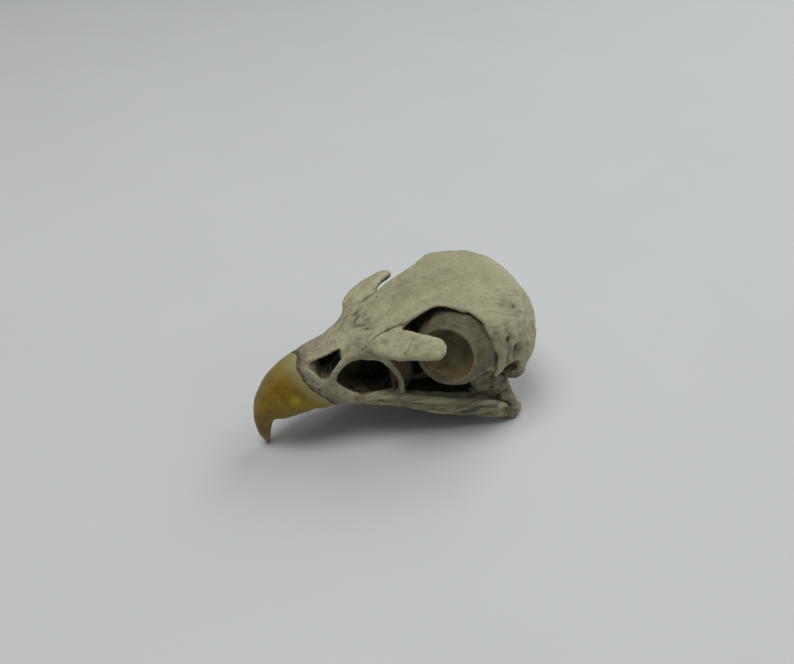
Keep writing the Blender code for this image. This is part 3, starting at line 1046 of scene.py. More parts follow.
@dataclass
class Bill:
    """The upper bill, one loft from the hinge to the tip: bone behind the sheath's edge, horn before it."""

    table: Track = Track((  # culmen X, Z, tomium X, Z, half-width, waist share, power of the top
        (-12.6, 33.0, -12.6, 14.6, 10.9, 0.12, 2.1), (-16.5, 31.9, -17.0, 14.6, 10.0, 0.14, 1.95),
        (-20.5, 30.8, -21.5, 14.4, 9.2, 0.16, 1.9), (-24.5, 29.6, -25.5, 14.2, 8.6, 0.18, 1.9),
        (-28.5, 28.2, -29.0, 14.0, 8.0, 0.16, 1.9), (-32.5, 26.4, -32.0, 12.3, 6.9, 0.18, 1.9),
        (-36.0, 23.8, -34.8, 11.6, 5.6, 0.24, 1.9), (-38.9, 19.9, -36.6, 10.9, 4.4, 0.32, 1.9),
        (-41.0, 15.2, -37.2, 9.0, 3.3, 0.40, 1.9), (-41.6, 10.0, -37.6, 6.4, 2.4, 0.46, 1.9),
        (-41.0, 5.0, -37.9, 3.6, 1.6, 0.5, 1.9), (-38.9, 0.0, -38.1, 0.0, 0.5, 0.5, 1.9)))
    tomium_power: float = 4.5
    sections: int = 90
    ring: int = 64
    palate: tuple[Point, Point] = ((-24.0, 0.0, 13.0), (10.5, 5.6, 2.6))
    palate_gap: tuple[Point, Point] = ((-12.6, 6.9, 15.0), (5.4, 2.3, 5.0))
    sheath_edge: Track = Track((  # Z, X
        (9.0, -18.6), (15.1, -21.0), (17.4, -22.9), (21.2, -26.5), (24.1, -28.4), (26.6, -28.9),
        (28.6, -28.0), (30.5, -27.0), (36.0, -25.4)))
    overlap: float = 2.4  # how far the bone goes on under the sheath
    naris: Rows = (  # the nostril's rim: X, Z
        (-17.1, 30.3), (-20.2, 29.3), (-23.4, 28.5), (-27.0, 27.6), (-26.2, 26.2), (-24.8, 25.2),
        (-23.8, 23.8), (-22.6, 22.9), (-20.8, 24.2), (-18.9, 26.4), (-17.3, 28.7))
    naris_pit: Rows = (  # the deep part of it, behind the shallow front
        (-17.8, 29.4), (-19.6, 28.8), (-21.4, 28.2), (-22.9, 27.6), (-23.0, 26.7), (-22.7, 26.0),
        (-22.4, 25.2), (-21.9, 24.7), (-20.8, 25.1), (-19.4, 26.7), (-18.2, 28.4))
    naris_steps: Rows = (  # out, share of the pit
        (14.0, 0.0), (4.4, 0.0), (3.5, 0.4), (2.7, 0.85), (2.0, 1.0))
    naris_wall: float = 1.0  # out of the pit's floor
    hinge_x: float = -13.05
    voxel: float = 0.26
    bright_spot: Point = (-31.2, 6.6, 18.6)
    bright_reach: Point = (2.6, 6.0, 3.0)

    def form(self, capped: bool = True) -> Form:
        """The whole bill.

        Args:
            capped: Whether its ends are closed.

        Returns:
            The form.
        """
        rings = []
        for cx, cz, tx, tz, half, waist, power in self.table.run(self.sections):
            ring = section(half, 1.0, waist, 0.0, (power, self.tomium_power), self.ring)
            rings.append([(tx + (cx - tx) * share, y, tz + (cz - tz) * share) for y, share in ring])
        return Form().loft(rings, capped)

    def edge_heights(self, count: int) -> np.ndarray:
        """Even heights along the sheath's rear edge."""
        return np.linspace(self.sheath_edge.rows[0][0], self.sheath_edge.rows[-1][0], count)

    def edge_at(self, heights: np.ndarray) -> np.ndarray:
        """The X of the sheath's rear edge, a little ragged.

        Args:
            heights: The Z values to read it at.

        Returns:
            Its X at each.
        """
        grid = self.edge_heights(120)
        ragged = [0.35 * noise.fractal(Vector((0.0, 0.0, 0.55 * z)), 1.0, 2.0, 3) for z in grid]
        return np.interp(heights, grid, [self.sheath_edge.at(z)[0] for z in grid] + np.array(ragged))

    def front(self, shift: float) -> Solid:
        """All that lies in front of the sheath's edge.

        Args:
            shift: How far it is moved along X.

        Returns:
            The space.
        """
        ahead, under, wide = -50.0, -4.0, 14.0  # well past the bill
        heights = self.edge_heights(80)
        edge = list(zip(self.edge_at(heights) + shift, heights))
        outline = [(ahead, under), (edge[0][0], under), *edge, (ahead, heights[-1])]
        return Form().prism(outline, -wide, wide).made("front")

    def roof(self) -> Solid:
        """The hollow under the bill."""
        return Form().ball(*self.palate).made("roof")

    def naris_cutter(self, side: Side) -> Solid:
        """The nostril: wide and shallow at its front, deep at its back.

        Args:
            side: Which side.

        Returns:
            The space to cut away.
        """
        rings = []
        for out, share in (*self.naris_steps, (self.naris_wall, 1.0)):
            corners = (1 - share) * np.asarray(self.naris) + share * np.asarray(self.naris_pit)
            rings.append([(x, side.value * out, z) for x, z in rounded(corners, 44)])
        return Form().loft(rings).made("naris", side)

    def bone_solid(self, head: "Head") -> Solid:
        """The bony part, with its openings.

        Args:
            head: The head, whose openings run on into the bill.

        Returns:
            The solid, which goes on a little under the sheath.
        """
        bone = combined(self.form().made("beak"), Join.CUT, [self.front(-self.overlap), self.roof()])
        for side in Side:
            combined(bone, Join.CUT, [head.fenestra_cutter(side), self.naris_cutter(side),
                                      Head.ball(self.palate_gap, side, "palate_gap")])
        return bone

    def region(self) -> Solid:
        """The space in front of the hinge."""
        ahead, under, over, wide = -60.0, -5.0, 50.0, 40.0  # well past the bill
        outline = ((ahead, under), (self.hinge_x, under), (self.hinge_x, over), (ahead, over))
        return Form().prism(outline, -wide, wide).made("bill_region")

    def marks(self) -> list[Crease]:
        """The grooves, ridges and lumps of the bony bill."""
        return [
            Crease(((-26.4, 2.9, 28.0), (-21.8, 4.5, 29.5), (-17.4, 5.9, 30.6)), 0.9, -0.30),
            Crease(((-26.9, 6.9, 22.5), (-24.0, 8.2, 22.0), (-21.6, 8.8, 20.0)), 1.0, -0.22),
            Crease(((-21.4, 8.4, 24.0), (-22.4, 8.6, 21.4), (-21.6, 8.9, 18.6)), 1.8, 0.06, 0.34),
            Crease(((-22.7, 6.6, 23.6),), 0.9, -0.75, 0.7),
            Crease(((-24.9, 7.6, 21.0),), 0.5, 0.22, 0.9),
            Crease(((-23.2, 8.5, 18.2),), 0.5, 0.25, 0.9),
            Crease(((-21.9, 9.0, 16.9),), 0.45, 0.2, 0.9),
            Crease(((-26.2, 6.9, 23.4),), 0.4, 0.15, 0.7),
        ]

    def build(self) -> Solid:
        """Models the horn sheath.

        Returns:
            The sheath.
        """
        horn = combined(self.form().made("horn"), Join.KEEP, [self.front(-0.10)])
        combined(horn, Join.CUT, [self.roof()])
        horn = one_skin("bill_sheath_horn", [horn], self.voxel)
        clay = Clay(horn)
        clay.relax(2)
        along, across = self.lines(clay.points)
        scallops = 0.30 * np.sin(clay.points[:, 0] * 1.15 + 0.6)
        clay.points[:, 2] += scallops * ease(across, 0.16, 0.0) * ease(along, 0.62, 0.5)
        clay.push(0.06 * clay.grain(4.0, 2.0) + 0.03 * clay.grain(1.2, 5.0, stretch=(2.5, 1.0, 1.0)) + 0.08)
        clay.points[:, 2] = np.maximum(clay.points[:, 2], 0.01)
        x, _, z = clay.points.T
        away = np.linalg.norm((clay.folded - self.bright_spot) / self.bright_reach, axis=1)
        clay.paint_all(clay.dirt_and_highlights() | {
            "behind": ease(x - self.edge_at(z), -5.2, -0.6) * ease(z, 12.0, 17.5),
            "low": ease(across, 0.42, 0.12) * ease(along, 0.66, 0.45),
            "tipward": ease(z, 6.5, 2.0),
            "culmen": ease(across, 0.80, 0.99) * ease(along, 0.95, 0.5),
            "along": along,
            "across": across,
            "bright": ease(away, 1.0, 0.0)})
        clay.store()
        return horn

    def lines(self, points: np.ndarray, count: int = 160) -> tuple[np.ndarray, np.ndarray]:
        """Where each point lies in the fan of sections.

        Args:
            points: Points of the sheath.
            count: How many sections are tried.

        Returns:
            How far along the bill each is, and how far up from the cutting edge, both from 0 to 1.
        """
        rows = self.table.run(count)
        low, high = rows[:, 2:4], rows[:, 0:2]
        best = np.full(len(points), 1e9)
        along, across = np.zeros(len(points)), np.zeros(len(points))
        for i, (base, way) in enumerate(zip(low, high - low)):
            gap = points[:, [0, 2]] - base
            share = np.clip((gap @ way) / (way @ way), 0, 1)
            off = np.linalg.norm(gap - share[:, None] * way, axis=1)
            closer = off < best
            best = np.where(closer, off, best)
            along, across = np.where(closer, i / (count - 1), along), np.where(closer, share, across)
        return along, across


@dataclass
class Head:
    """The cranium: the braincase with its eye sockets, ear hollows and flanges."""

    vault: Track = Track((  # X, half-width, crown, waist, keel, power of the underside
        (-13.2, 9.2, 33.0, 28.6, 15.0, 4.0), (-8.0, 9.2, 35.3, 31.4, 14.2, 4.0),
        (-1.5, 8.7, 38.4, 35.7, 13.2, 3.4), (3.5, 8.7, 40.7, 38.5, 12.2, 2.6),
        (7.5, 9.1, 41.9, 40.0, 11.4, 2.4), (10.5, 10.5, 42.3, 40.3, 10.6, 2.2),
        (14.0, 14.0, 42.7, 39.2, 9.8, 2.0), (17.5, 18.0, 43.0, 36.4, 9.0, 1.8),
        (21.0, 20.2, 43.3, 31.8, 8.4, 1.7), (26.0, 20.0, 43.3, 28.0, 7.8, 1.8),
        (31.0, 18.6, 42.0, 25.0, 7.6, 2.1), (35.5, 15.7, 38.2, 22.5, 8.4, 2.1),
        (39.0, 12.0, 32.8, 20.8, 10.0, 2.0), (41.4, 7.6, 26.9, 20.0, 12.8, 2.0),
        (42.6, 1.2, 21.4, 20.2, 19.0, 2.0)))
    crown_power: float = 2.25
    sections: int = 64
    ring: int = 84
    sunk: float = 3.0  # how far the front end goes on inside the bill
    sunk_level: float = 24.0  # Z that it narrows towards there
    sunk_shares: tuple[float, float] = (0.8, 0.75)  # of its breadth and height
    furrow_depth: float = 1.3
    furrow_width: float = 3.2
    furrow_ends: tuple[float, ...] = (-8.0, 2.0, 26.0, 34.0)  # X where it starts, is full, fades and ends
    orbit: Track = Track((  # out, centre X, centre Z, radius X, radius Z
        (0.7, 5.6, 27.0, 7.0, 8.6), (3.5, 6.6, 27.4, 9.3, 12.2), (8.0, 8.4, 27.2, 11.2, 13.8),
        (12.0, 9.4, 26.4, 11.8, 14.6), (20.0, 9.5, 25.4, 12.4, 15.4), (27.0, 9.5, 25.0, 13.0, 16.0)))
    orbit_tilt: float = -10.0
    wing: tuple[Point, Point] = ((32.4, 12.0, 13.4), (4.2, 3.4, 3.0))
    condyle: tuple[Point, Point] = ((38.4, 0.0, 9.6), (1.5, 1.5, 1.4))
    foramen: tuple[Point, Point] = ((41.6, 0.0, 13.2), (3.4, 3.1, 3.3))
    ear: tuple[Point, Point] = ((29.2, 17.8, 15.6), (3.0, 5.4, 3.6))
    temple: tuple[Point, Point] = ((28.6, 21.8, 25.4), (3.3, 3.5, 5.6))
    ear_pit: tuple[Point, Point] = ((28.3, 21.2, 18.6), (3.1, 6.6, 4.0))
    postorbital: Track = Track((
        (18.6, 17.0, 36.6, 1.6, 1.4), (22.0, 18.7, 31.2, 2.8, 1.7), (23.5, 19.4, 26.8, 1.7, 1.3),
        (23.2, 19.5, 22.8, 1.2, 1.0), (22.0, 19.2, 19.4, 0.6, 0.6)))
    rim: Track = Track((  # the rim of the eye socket, in front
        (-2.6, 8.0, 35.4, 0.8, 0.6), (0.2, 7.9, 36.9, 1.0, 0.9), (2.8, 7.9, 38.3, 1.1, 1.0),
        (6.0, 8.1, 39.6, 1.1, 0.9), (9.0, 8.9, 40.4, 1.1, 0.8), (12.0, 11.5, 40.1, 0.8, 0.6),
        (14.5, 13.9, 39.1, 0.5, 0.4)))
    floor: Track = Track((  # the rough floor behind the opening in front of the eye
        (-18.0, 8.0, 16.6, 1.6, 1.0), (-12.0, 8.9, 16.2, 2.2, 1.3), (-6.0, 9.2, 15.6, 2.2, 1.3),
        (-2.0, 9.2, 15.0, 1.6, 1.0)))
    rostrum: Track = Track((  # the rod along the middle of the base
        (-12.0, 0.0, 13.6, 1.3, 1.6), (-4.0, 0.0, 12.2, 1.3, 1.9), (6.0, 0.0, 10.0, 1.4, 2.1),
        (14.0, 0.0, 8.9, 1.5, 1.9), (22.0, 0.0, 8.6, 1.8, 1.2)))
    eye_wall: Rows = (  # the wall between the eye and the arch: X, Z in the front, X, Z behind
        (-4.4, 15.4, 1.6, 14.6), (0.2, 15.0, 5.2, 14.4), (1.6, 20.0, 6.0, 20.0), (1.2, 26.0, 5.6, 26.0),
        (-0.6, 31.5, 4.4, 32.0), (-4.4, 31.0, 1.0, 32.0), (-5.6, 24.0, 0.6, 24.0), (-5.0, 19.0, 0.8, 18.0))
    eye_wall_outs: tuple[float, float] = (9.8, 2.0)  # where its front and its back stand
    fenestra: tuple[float, float, float, float] = (-11.8, 22.9, 8.9, 5.4)  # X, Z, radii
    fenestra_tilt: float = -17.0
    fenestra_flare: Rows = ((1.8, 0.90), (6.0, 0.98), (16.0, 1.04))  # out, share of the radii
    fenestra_back: float = -5.2  # X of the thin wall that parts it from the eye socket

    def vault_form(self, capped: bool = True) -> Form:
        """The whole braincase as one loft from the hinge back.

        Args:
            capped: Whether its ends are closed, and its front end sunk into the bill.

        Returns:
            The form.
        """
        first, last = self.vault.rows[0][0], self.vault.rows[-1][0]
        start, full, fades, end = self.furrow_ends
        broad, tall = self.sunk_shares
        even = np.linspace(0, 1, self.sections)
        crowded = (1 - np.cos(even * math.pi)) / 2
        rings = []
        for number, x in enumerate(first + (last - first) * (even + crowded) / 2):
            half, crown, waist, keel, under = self.vault.at(x)
            fading = np.clip((x - start) / (full - start), 0, 1) * np.clip((end - x) / (end - fades), 0, 1)
            ring = []
            for y, z in section(half, crown, waist, keel, (self.crown_power, under), self.ring):
                depth = self.furrow_depth * fading * math.exp(-((y / self.furrow_width) ** 2))
                ring.append((x, y, z - depth if z > waist else z))
            if number == 0 and capped:
                level = self.sunk_level
                rings.append([(x - self.sunk, broad * y, level + tall * (z - level)) for _, y, z in ring])
            rings.append(ring)
        return Form().loft(rings, capped)

    def orbit_cutter(self, side: Side) -> Solid:
        """The eye socket, open outwards.

        Args:
            side: Which side.

        Returns:
            The space to cut away.
        """
        rings = []
        for out in np.linspace(self.orbit.rows[0][0], self.orbit.rows[-1][0], 18):
            x, z, *radii = self.orbit.at(out)
            rings.append([(a, side.value * out, b) for a, b in oval((x, z), radii, self.orbit_tilt)])
        return Form().loft(rings).made("orbit", side)

    def fenestra_cutter(self, side: Side) -> Solid:
        """The oval opening in front of the eye, a little wider outside than inside.

        Args:
            side: Which side.

        Returns:
            The space to cut away.
        """
        rings = []
        for out, share in self.fenestra_flare:
            outline = oval(self.fenestra[:2], self.fenestra[2:], self.fenestra_tilt, share, 56)
            rings.append([(min(x, self.fenestra_back), side.value * out, z) for x, z in outline])
        return Form().loft(rings).made("fenestra", side)

    @staticmethod
    def ball(shape: tuple[Point, Point], side: Side, name: str) -> Solid:
        """One stretched ball on a side, as an object of its own."""
        (x, out, z), radii = shape
        return Form().ball((x, side.value * out, z), radii).made(name, side)

    def solids(self) -> list[Solid]:
        """Models the braincase and what is joined to it.

        Returns:
            The solids, before they are melted together.
        """
        braincase = self.vault_form().made("braincase")
        for side in Side:
            combined(braincase, Join.CUT, [
                self.orbit_cutter(side), self.ball(self.ear, side, "ear"),
                self.ball(self.temple, side, "temple"), self.ball(self.ear_pit, side, "ear_pit"),
                self.fenestra_cutter(side)])
        combined(braincase, Join.CUT, [self.ball(self.foramen, Side.LEFT, "foramen")])
        parts = [braincase, self.ball(self.condyle, Side.LEFT, "condyle"),
                 swept(self.rostrum, Side.LEFT).made("rostrum")]
        for side in Side:
            wall = [[(row[i], side.value * out, row[i + 1]) for row in self.eye_wall]
                    for out, i in zip(self.eye_wall_outs, (0, 2))]
            parts += [self.ball(self.wing, side, "wing"), Form().loft(wall).made("eye_wall", side),
                      swept(self.floor, side).made("floor", side), swept(self.rim, side).made("rim", side),
                      swept(self.postorbital, side).made("postorbital", side)]
        return parts

    def welds(self) -> list[Weld]:
        """Where the bill, the crest behind the eye, the flange and the socket's rim are rubbed smooth."""
        return [
            Weld(((-13.2, 0.0, 33.0), (-13.4, 5.0, 32.4), (-13.2, 8.4, 30.4)), 3.6, 40),
            Weld(((19.6, 17.4, 35.8), (22.0, 18.6, 31.0), (22.8, 19.2, 27.0)), 2.8, 24),
            Weld(((29.0, 13.6, 14.0), (32.4, 13.4, 12.0), (35.6, 12.6, 14.6)), 3.6, 60),
            Weld(((-0.6, 8.6, 36.6), (3.2, 8.6, 38.6), (7.3, 9.1, 40.0), (10.4, 10.8, 40.6),
                  (14.0, 13.6, 40.2), (17.3, 17.3, 38.1), (19.3, 19.6, 34.7)), 1.8, 10),
            Weld(((11.0, 11.2, 40.2), (13.6, 13.4, 39.7), (16.0, 15.8, 38.6)), 2.2, 16),
        ]

    def marks(self) -> list[Crease]:
        """The grooves, ridges, hollows and lumps of the cranium."""
        return [
            # long grooves beside the middle of the forehead, and the cream ridge between them
            Crease(((-9.6, 4.4, 34.4), (-7.2, 3.4, 35.5), (-3.1, 3.3, 37.4), (0.7, 3.6, 39.1),
                    (5.6, 4.0, 41.2)), 0.9, 0.22, 0.10),
            Crease(((-9.0, 6.4, 34.2), (-4.0, 5.4, 36.6), (1.5, 6.0, 38.9), (6.0, 6.6, 40.9)), 1.3, -0.28),
            Crease(((-12.0, 1.8, 33.2), (-7.3, 1.0, 35.5), (-2.2, 0.6, 37.8), (4.0, 0.4, 40.2)),
                   1.3, 0.20, 0.06),
            # the low crest over each eye, and the shallow trough inside it
            Crease(((5.7, 6.4, 41.1), (10.0, 6.6, 42.4), (15.6, 7.6, 42.9), (22.0, 7.6, 42.9),
                    (28.7, 5.0, 41.9)), 1.9, -0.16),
            Crease(((3.0, 7.4, 39.9), (8.5, 8.6, 41.3), (14.0, 11.6, 41.8), (19.0, 13.8, 40.8)), 1.9, 0.28),
            Crease(((14.0, 10.5, 42.6), (20.0, 12.5, 41.8), (27.0, 11.5, 40.8)), 2.6, -0.30),
            # the raised rim of the eye socket
            Crease(((-1.3, 8.9, 36.3), (3.2, 9.0, 38.6), (7.3, 9.4, 40.3), (10.4, 10.8, 41.0),
                    (14.0, 13.6, 40.4), (17.3, 17.3, 38.3), (19.3, 19.8, 34.7)), 0.7, -0.25),
            # the hollow and the streaks behind the eye
            Crease(((24.4, 17.8, 34.6), (25.0, 18.8, 31.0)), 0.9, 0.30, 0.15),
            Crease(((28.9, 18.2, 30.0), (28.6, 18.4, 26.0)), 1.6, 0.20, 0.25),
            Crease(((27.0, 17.0, 36.4), (29.0, 17.2, 33.0)), 1.5, 0.35, 0.18),
            Crease(((27.4, 16.8, 35.0), (26.4, 18.6, 31.0), (25.4, 19.2, 27.6)), 0.8, -0.28),
            Crease(((25.5, 15.0, 39.0), (27.2, 15.6, 37.6), (29.5, 15.6, 35.6)), 1.4, 0.35, 0.20),
            Crease(((28.8, 14.7, 37.9),), 0.8, 0.22, 0.75),
            Crease(((24.5, 18.5, 31.2), (25.2, 18.5, 26.9), (25.3, 18.5, 22.6)), 0.9, 0.40, 0.45),
            # the rim of the nape
            Crease(((31.5, 17.6, 20.0), (33.4, 16.8, 24.0), (36.3, 14.0, 28.5), (38.6, 8.0, 31.6),
                    (39.4, 0.0, 32.4)), 1.5, -0.45),
            Crease(((30.6, 17.8, 30.5), (33.0, 15.8, 33.0), (36.0, 10.6, 35.8)), 1.8, 0.40, 0.12),
            Crease(((36.6, 13.8, 26.8),), 1.0, -0.45),
            Crease(((32.2, 17.6, 27.0), (32.4, 17.4, 22.0)), 1.2, -0.55),
            # the dark line between the eye's ring and its socket
            Crease(((17.2, 17.0, 37.0), (18.6, 19.0, 34.2), (19.9, 19.6, 30.4), (20.8, 19.5, 26.0),
                    (21.2, 18.7, 20.4)), 0.45, 0.15, 0.8),
            # where the bill bends on the forehead
            Crease(((-15.2, 0.0, 32.3), (-14.5, 2.8, 32.3), (-13.5, 6.0, 31.7), (-12.3, 8.8, 30.6)),
                   1.3, 0.16, 0.14),
            # stains and pores
            Crease(((0.0, 0.8, 38.2), (6.0, 0.8, 40.4), (12.0, 0.8, 41.6), (20.0, 0.8, 42.4)),
                   2.2, 0.12, 0.20),
            Crease(((-11.6, 0.6, 33.6), (-9.4, 2.2, 34.4)), 0.6, 0.14, 0.8),
            Crease(((-10.4, 3.4, 34.1), (-9.4, 4.0, 34.4)), 0.55, 0.12, 0.8),
            Crease(((-9.0, 0.4, 34.8), (-8.2, 1.2, 35.2)), 0.5, 0.10, 0.6),
            Crease(((-3.2, 4.7, 37.2),), 0.3, 0.2, 0.8),
        ]


@dataclass
class Brow:
    """The free brow blade with the arch under it and the band round the opening in front of the eye."""

    blade: Track = Track((  # X, out, Z, half-breadth, half-height, roll
        (-8.4, 6.6, 32.4, 4.2, 1.7, -6.0), (-6.2, 10.2, 33.1, 4.8, 1.9, -12.0),
        (-3.8, 13.4, 33.8, 4.5, 1.8, -22.0), (-0.6, 15.9, 34.1, 3.8, 1.6, -28.0),
        (2.6, 17.9, 34.0, 3.4, 1.5, -30.0), (5.0, 19.2, 33.8, 2.8, 1.3, -30.0),
        (6.4, 19.9, 33.7, 1.2, 0.7, -30.0)))
    root: Track = Track((
        (-13.4, 8.0, 29.8, 1.2, 1.0), (-11.0, 8.5, 31.0, 1.8, 1.4), (-7.5, 9.2, 32.4, 2.2, 1.6),
        (-4.0, 9.0, 33.6, 1.6, 1.5)))
    strut: Track = Track((
        (-8.5, 10.5, 32.4, 1.7, 1.1), (-6.9, 10.6, 28.0, 1.3, 1.0), (-5.0, 10.8, 24.8, 0.8, 0.8),
        (-3.3, 11.0, 21.9, 0.65, 0.8), (-2.5, 11.4, 19.0, 0.65, 0.8), (-2.6, 11.8, 16.0, 0.9, 1.0)))
    band: Rows = (  # X, out, Z, half-width, half-thickness
        (-21.1, 8.0, 21.9, 1.35, 0.9), (-20.4, 7.5, 24.4, 1.3, 0.9), (-18.4, 6.9, 26.4, 1.3, 0.9),
        (-16.1, 6.8, 27.9, 1.4, 0.9), (-13.4, 7.3, 28.6, 1.5, 0.9), (-9.4, 8.8, 28.2, 1.3, 0.9),
        (-7.0, 10.2, 27.4, 1.0, 0.9), (-4.6, 10.8, 24.2, 0.75, 0.8), (-2.7, 11.2, 19.6, 0.7, 0.8),
        (-3.2, 11.5, 16.2, 0.8, 0.9), (-5.8, 11.1, 15.4, 1.0, 0.9), (-9.5, 10.4, 16.3, 1.1, 0.9),
        (-13.5, 9.8, 16.4, 1.2, 0.9), (-18.9, 9.2, 17.7, 1.3, 0.9), (-21.1, 8.8, 19.9, 1.35, 0.9))
    suture: Rows = (  # X, then out and Z of the crease beside the forehead, then out of the lower part
        (-13.05, 8.9, 31.6, 9.5), (-11.0, 9.0, 33.1, 9.5), (-8.4, 7.8, 34.0, 9.5),
        (-5.0, 7.9, 35.1, 9.5), (-1.4, 8.7, 36.2, 9.5), (-0.6, 10.4, 37.5, 9.9), (8.4, 10.9, 41.0, 10.6))
    foot: float = 16.9  # Z at which the arch meets the cheek bar

    def solids(self, side: Side) -> list[Solid]:
        """The blade, its root, the arch and the band, before they are melted together."""
        return [swept(self.blade, side, 40, 28, 2.4).made("blade", side),
                swept(self.root, side).made("root", side), swept(self.strut, side).made("strut", side),
                hoop(self.band, side).made("band", side)]

    def region(self, side: Side) -> Solid:
        """The space outside the suture with the forehead, behind the hinge and above the cheek bar.

        Args:
            side: Which side.

        Returns:
            The space.
        """
        beyond, over = 32.0, 48.0  # well past the head
        rings = []
        for x, out, z, low in self.suture:
            outline = ((out, z + 3.0), (out, z - 2.2), (low, z - 3.4), (low, self.foot), (beyond, self.foot),
                       (beyond, over), (out, over))
            rings.append([(x, side.value * y, height) for y, height in outline])
        return Form().loft(rings).made("brow_region", side)

    def welds(self) -> list[Weld]:
        """Where the blade and the band are rubbed into their neighbours."""
        around = tuple(tuple(row[:3]) for row in (*self.band, self.band[0]))
        front, foot = around[11:15] + around[:6], ((-2.6, 11.4, 16.6),)
        return [Weld(((-12.3, 8.8, 31.0), (-8.4, 7.8, 34.0), (-5.0, 7.9, 35.1), (-2.4, 8.3, 35.8)), 3.2, 45),
                Weld(((-12.0, 9.2, 30.2), (-8.5, 10.0, 30.2), (-6.0, 10.6, 29.6)), 2.4, 30),
                Weld(front[:-1] + ((-9.4, 8.8, 28.2),), 2.2, 6), Weld(front, 3.4, 24), Weld(foot, 2.4, 14)]

    def marks(self) -> list[Crease]:
        """The grooves and pores of the blade and the arch."""
        return [
            Crease(((-13.0, 8.8, 31.2), (-11.0, 9.1, 33.1), (-8.4, 7.8, 34.0), (-5.0, 7.9, 35.1)),
                   0.40, 0.22, 0.30),
            Crease(((-5.6, 7.9, 35.0), (-3.0, 8.3, 35.8), (-1.4, 8.6, 36.2)), 0.40, 0.30, 0.75),
            Crease(((-9.5, 10.0, 33.4), (-5.0, 13.0, 35.2), (0.0, 15.8, 36.0)), 0.9, 0.16, 0.1),
            Crease(((-4.2, 17.8, 34.0), (-2.0, 16.0, 35.6)), 0.3, 0.10, 0.4),
            Crease(((-4.2, 17.6, 34.2),), 0.3, 0.2, 0.95),
            Crease(((0.1, 17.5, 36.0),), 0.25, 0.12, 0.8),
            Crease(((-6.0, 14.6, 35.2),), 0.22, 0.1, 0.8),
            Crease(((-2.6, 11.6, 18.2),), 0.8, -0.35, 0.35),
        ]


@dataclass
class CheekBar:
    """The bar along the cheek, tall behind, with a long groove in its face and a shelf inside it."""

    bar: Track = Track((
        (-17.0, 9.0, 15.6, 1.0, 1.2), (-12.9, 10.0, 15.4, 1.2, 1.7), (-6.0, 11.6, 14.4, 1.7, 2.1),
        (0.0, 13.1, 13.0, 1.9, 2.3), (8.0, 15.1, 10.4, 2.0, 2.7), (15.0, 16.4, 8.4, 2.0, 2.8),
        (21.0, 17.6, 6.7, 1.8, 2.8), (25.4, 18.5, 5.0, 1.5, 2.6), (27.7, 18.8, 4.2, 0.8, 1.6)))
    shelf: Track = Track((
        (-6.0, 10.4, 15.4, 1.3, 0.8), (3.0, 12.4, 13.3, 1.6, 0.9), (11.0, 13.8, 11.2, 1.7, 0.9),
        (17.0, 14.8, 9.8, 1.6, 0.9), (22.0, 16.2, 8.8, 1.2, 0.9)))
    top: Rows = ((-13.05, 8.3, 19.0), (-6.0, 9.0, 16.9), (0.0, 9.6, 16.9), (8.0, 11.4, 15.0),
                 (15.0, 12.4, 13.2), (21.0, 14.2, 11.4), (29.4, 15.8, 9.4))  # X, inner side, top

    def solids(self, side: Side) -> list[Solid]:
        """The bar and its shelf."""
        return [swept(self.bar, side, 60, 24, 2.5).made("bar", side),
                swept(self.shelf, side, 40).made("shelf", side)]

    def region(self, side: Side) -> Solid:
        """The space round the bar, behind the hinge.

        Args:
            side: Which side.

        Returns:
            The space.
        """
        beyond, under = 32.0, -3.0  # well past the head
        rings = []
        for x, inner, top in self.top:
            outline = ((inner, under), (beyond, under), (beyond, top), (inner, top))
            rings.append([(x, side.value * y, z) for y, z in outline])
        return Form().loft(rings).made("bar_region", side)

    def welds(self) -> list[Weld]:
        """Where the bar grows out of the bill."""
        return [Weld(((-15.0, 9.6, 15.6), (-10.0, 10.8, 15.0)), 3.0, 40)]

    def marks(self) -> list[Crease]:
        """The bar's grooves, ridge and pits."""
        return [
            Crease(((-9.2, 12.0, 15.1), (3.9, 15.0, 12.2), (14.6, 17.5, 9.6), (23.4, 18.9, 7.2)),
                   0.6, 0.42, 0.60),
            Crease(((-9.2, 11.6, 16.1), (3.9, 14.6, 13.6), (14.6, 17.2, 11.0), (23.4, 18.6, 8.6)),
                   0.6, -0.40),
            Crease(((2.0, 15.0, 11.4), (8.0, 16.8, 9.3), (14.0, 17.8, 7.9)), 0.5, 0.25, 0.5),
            Crease(((12.0, 17.8, 7.2), (18.0, 18.8, 5.6), (23.0, 19.6, 4.2)), 0.6, 0.28, 0.45),
            Crease(((18.6, 18.8, 9.0),), 0.35, 0.3, 0.95),
            Crease(((21.0, 19.2, 5.4),), 0.35, 0.2, 0.8),
            Crease(((26.0, 19.4, 4.6),), 0.6, 0.35, 0.6),
            Crease(((24.2, 19.4, 6.6),), 0.7, -0.3),
        ]


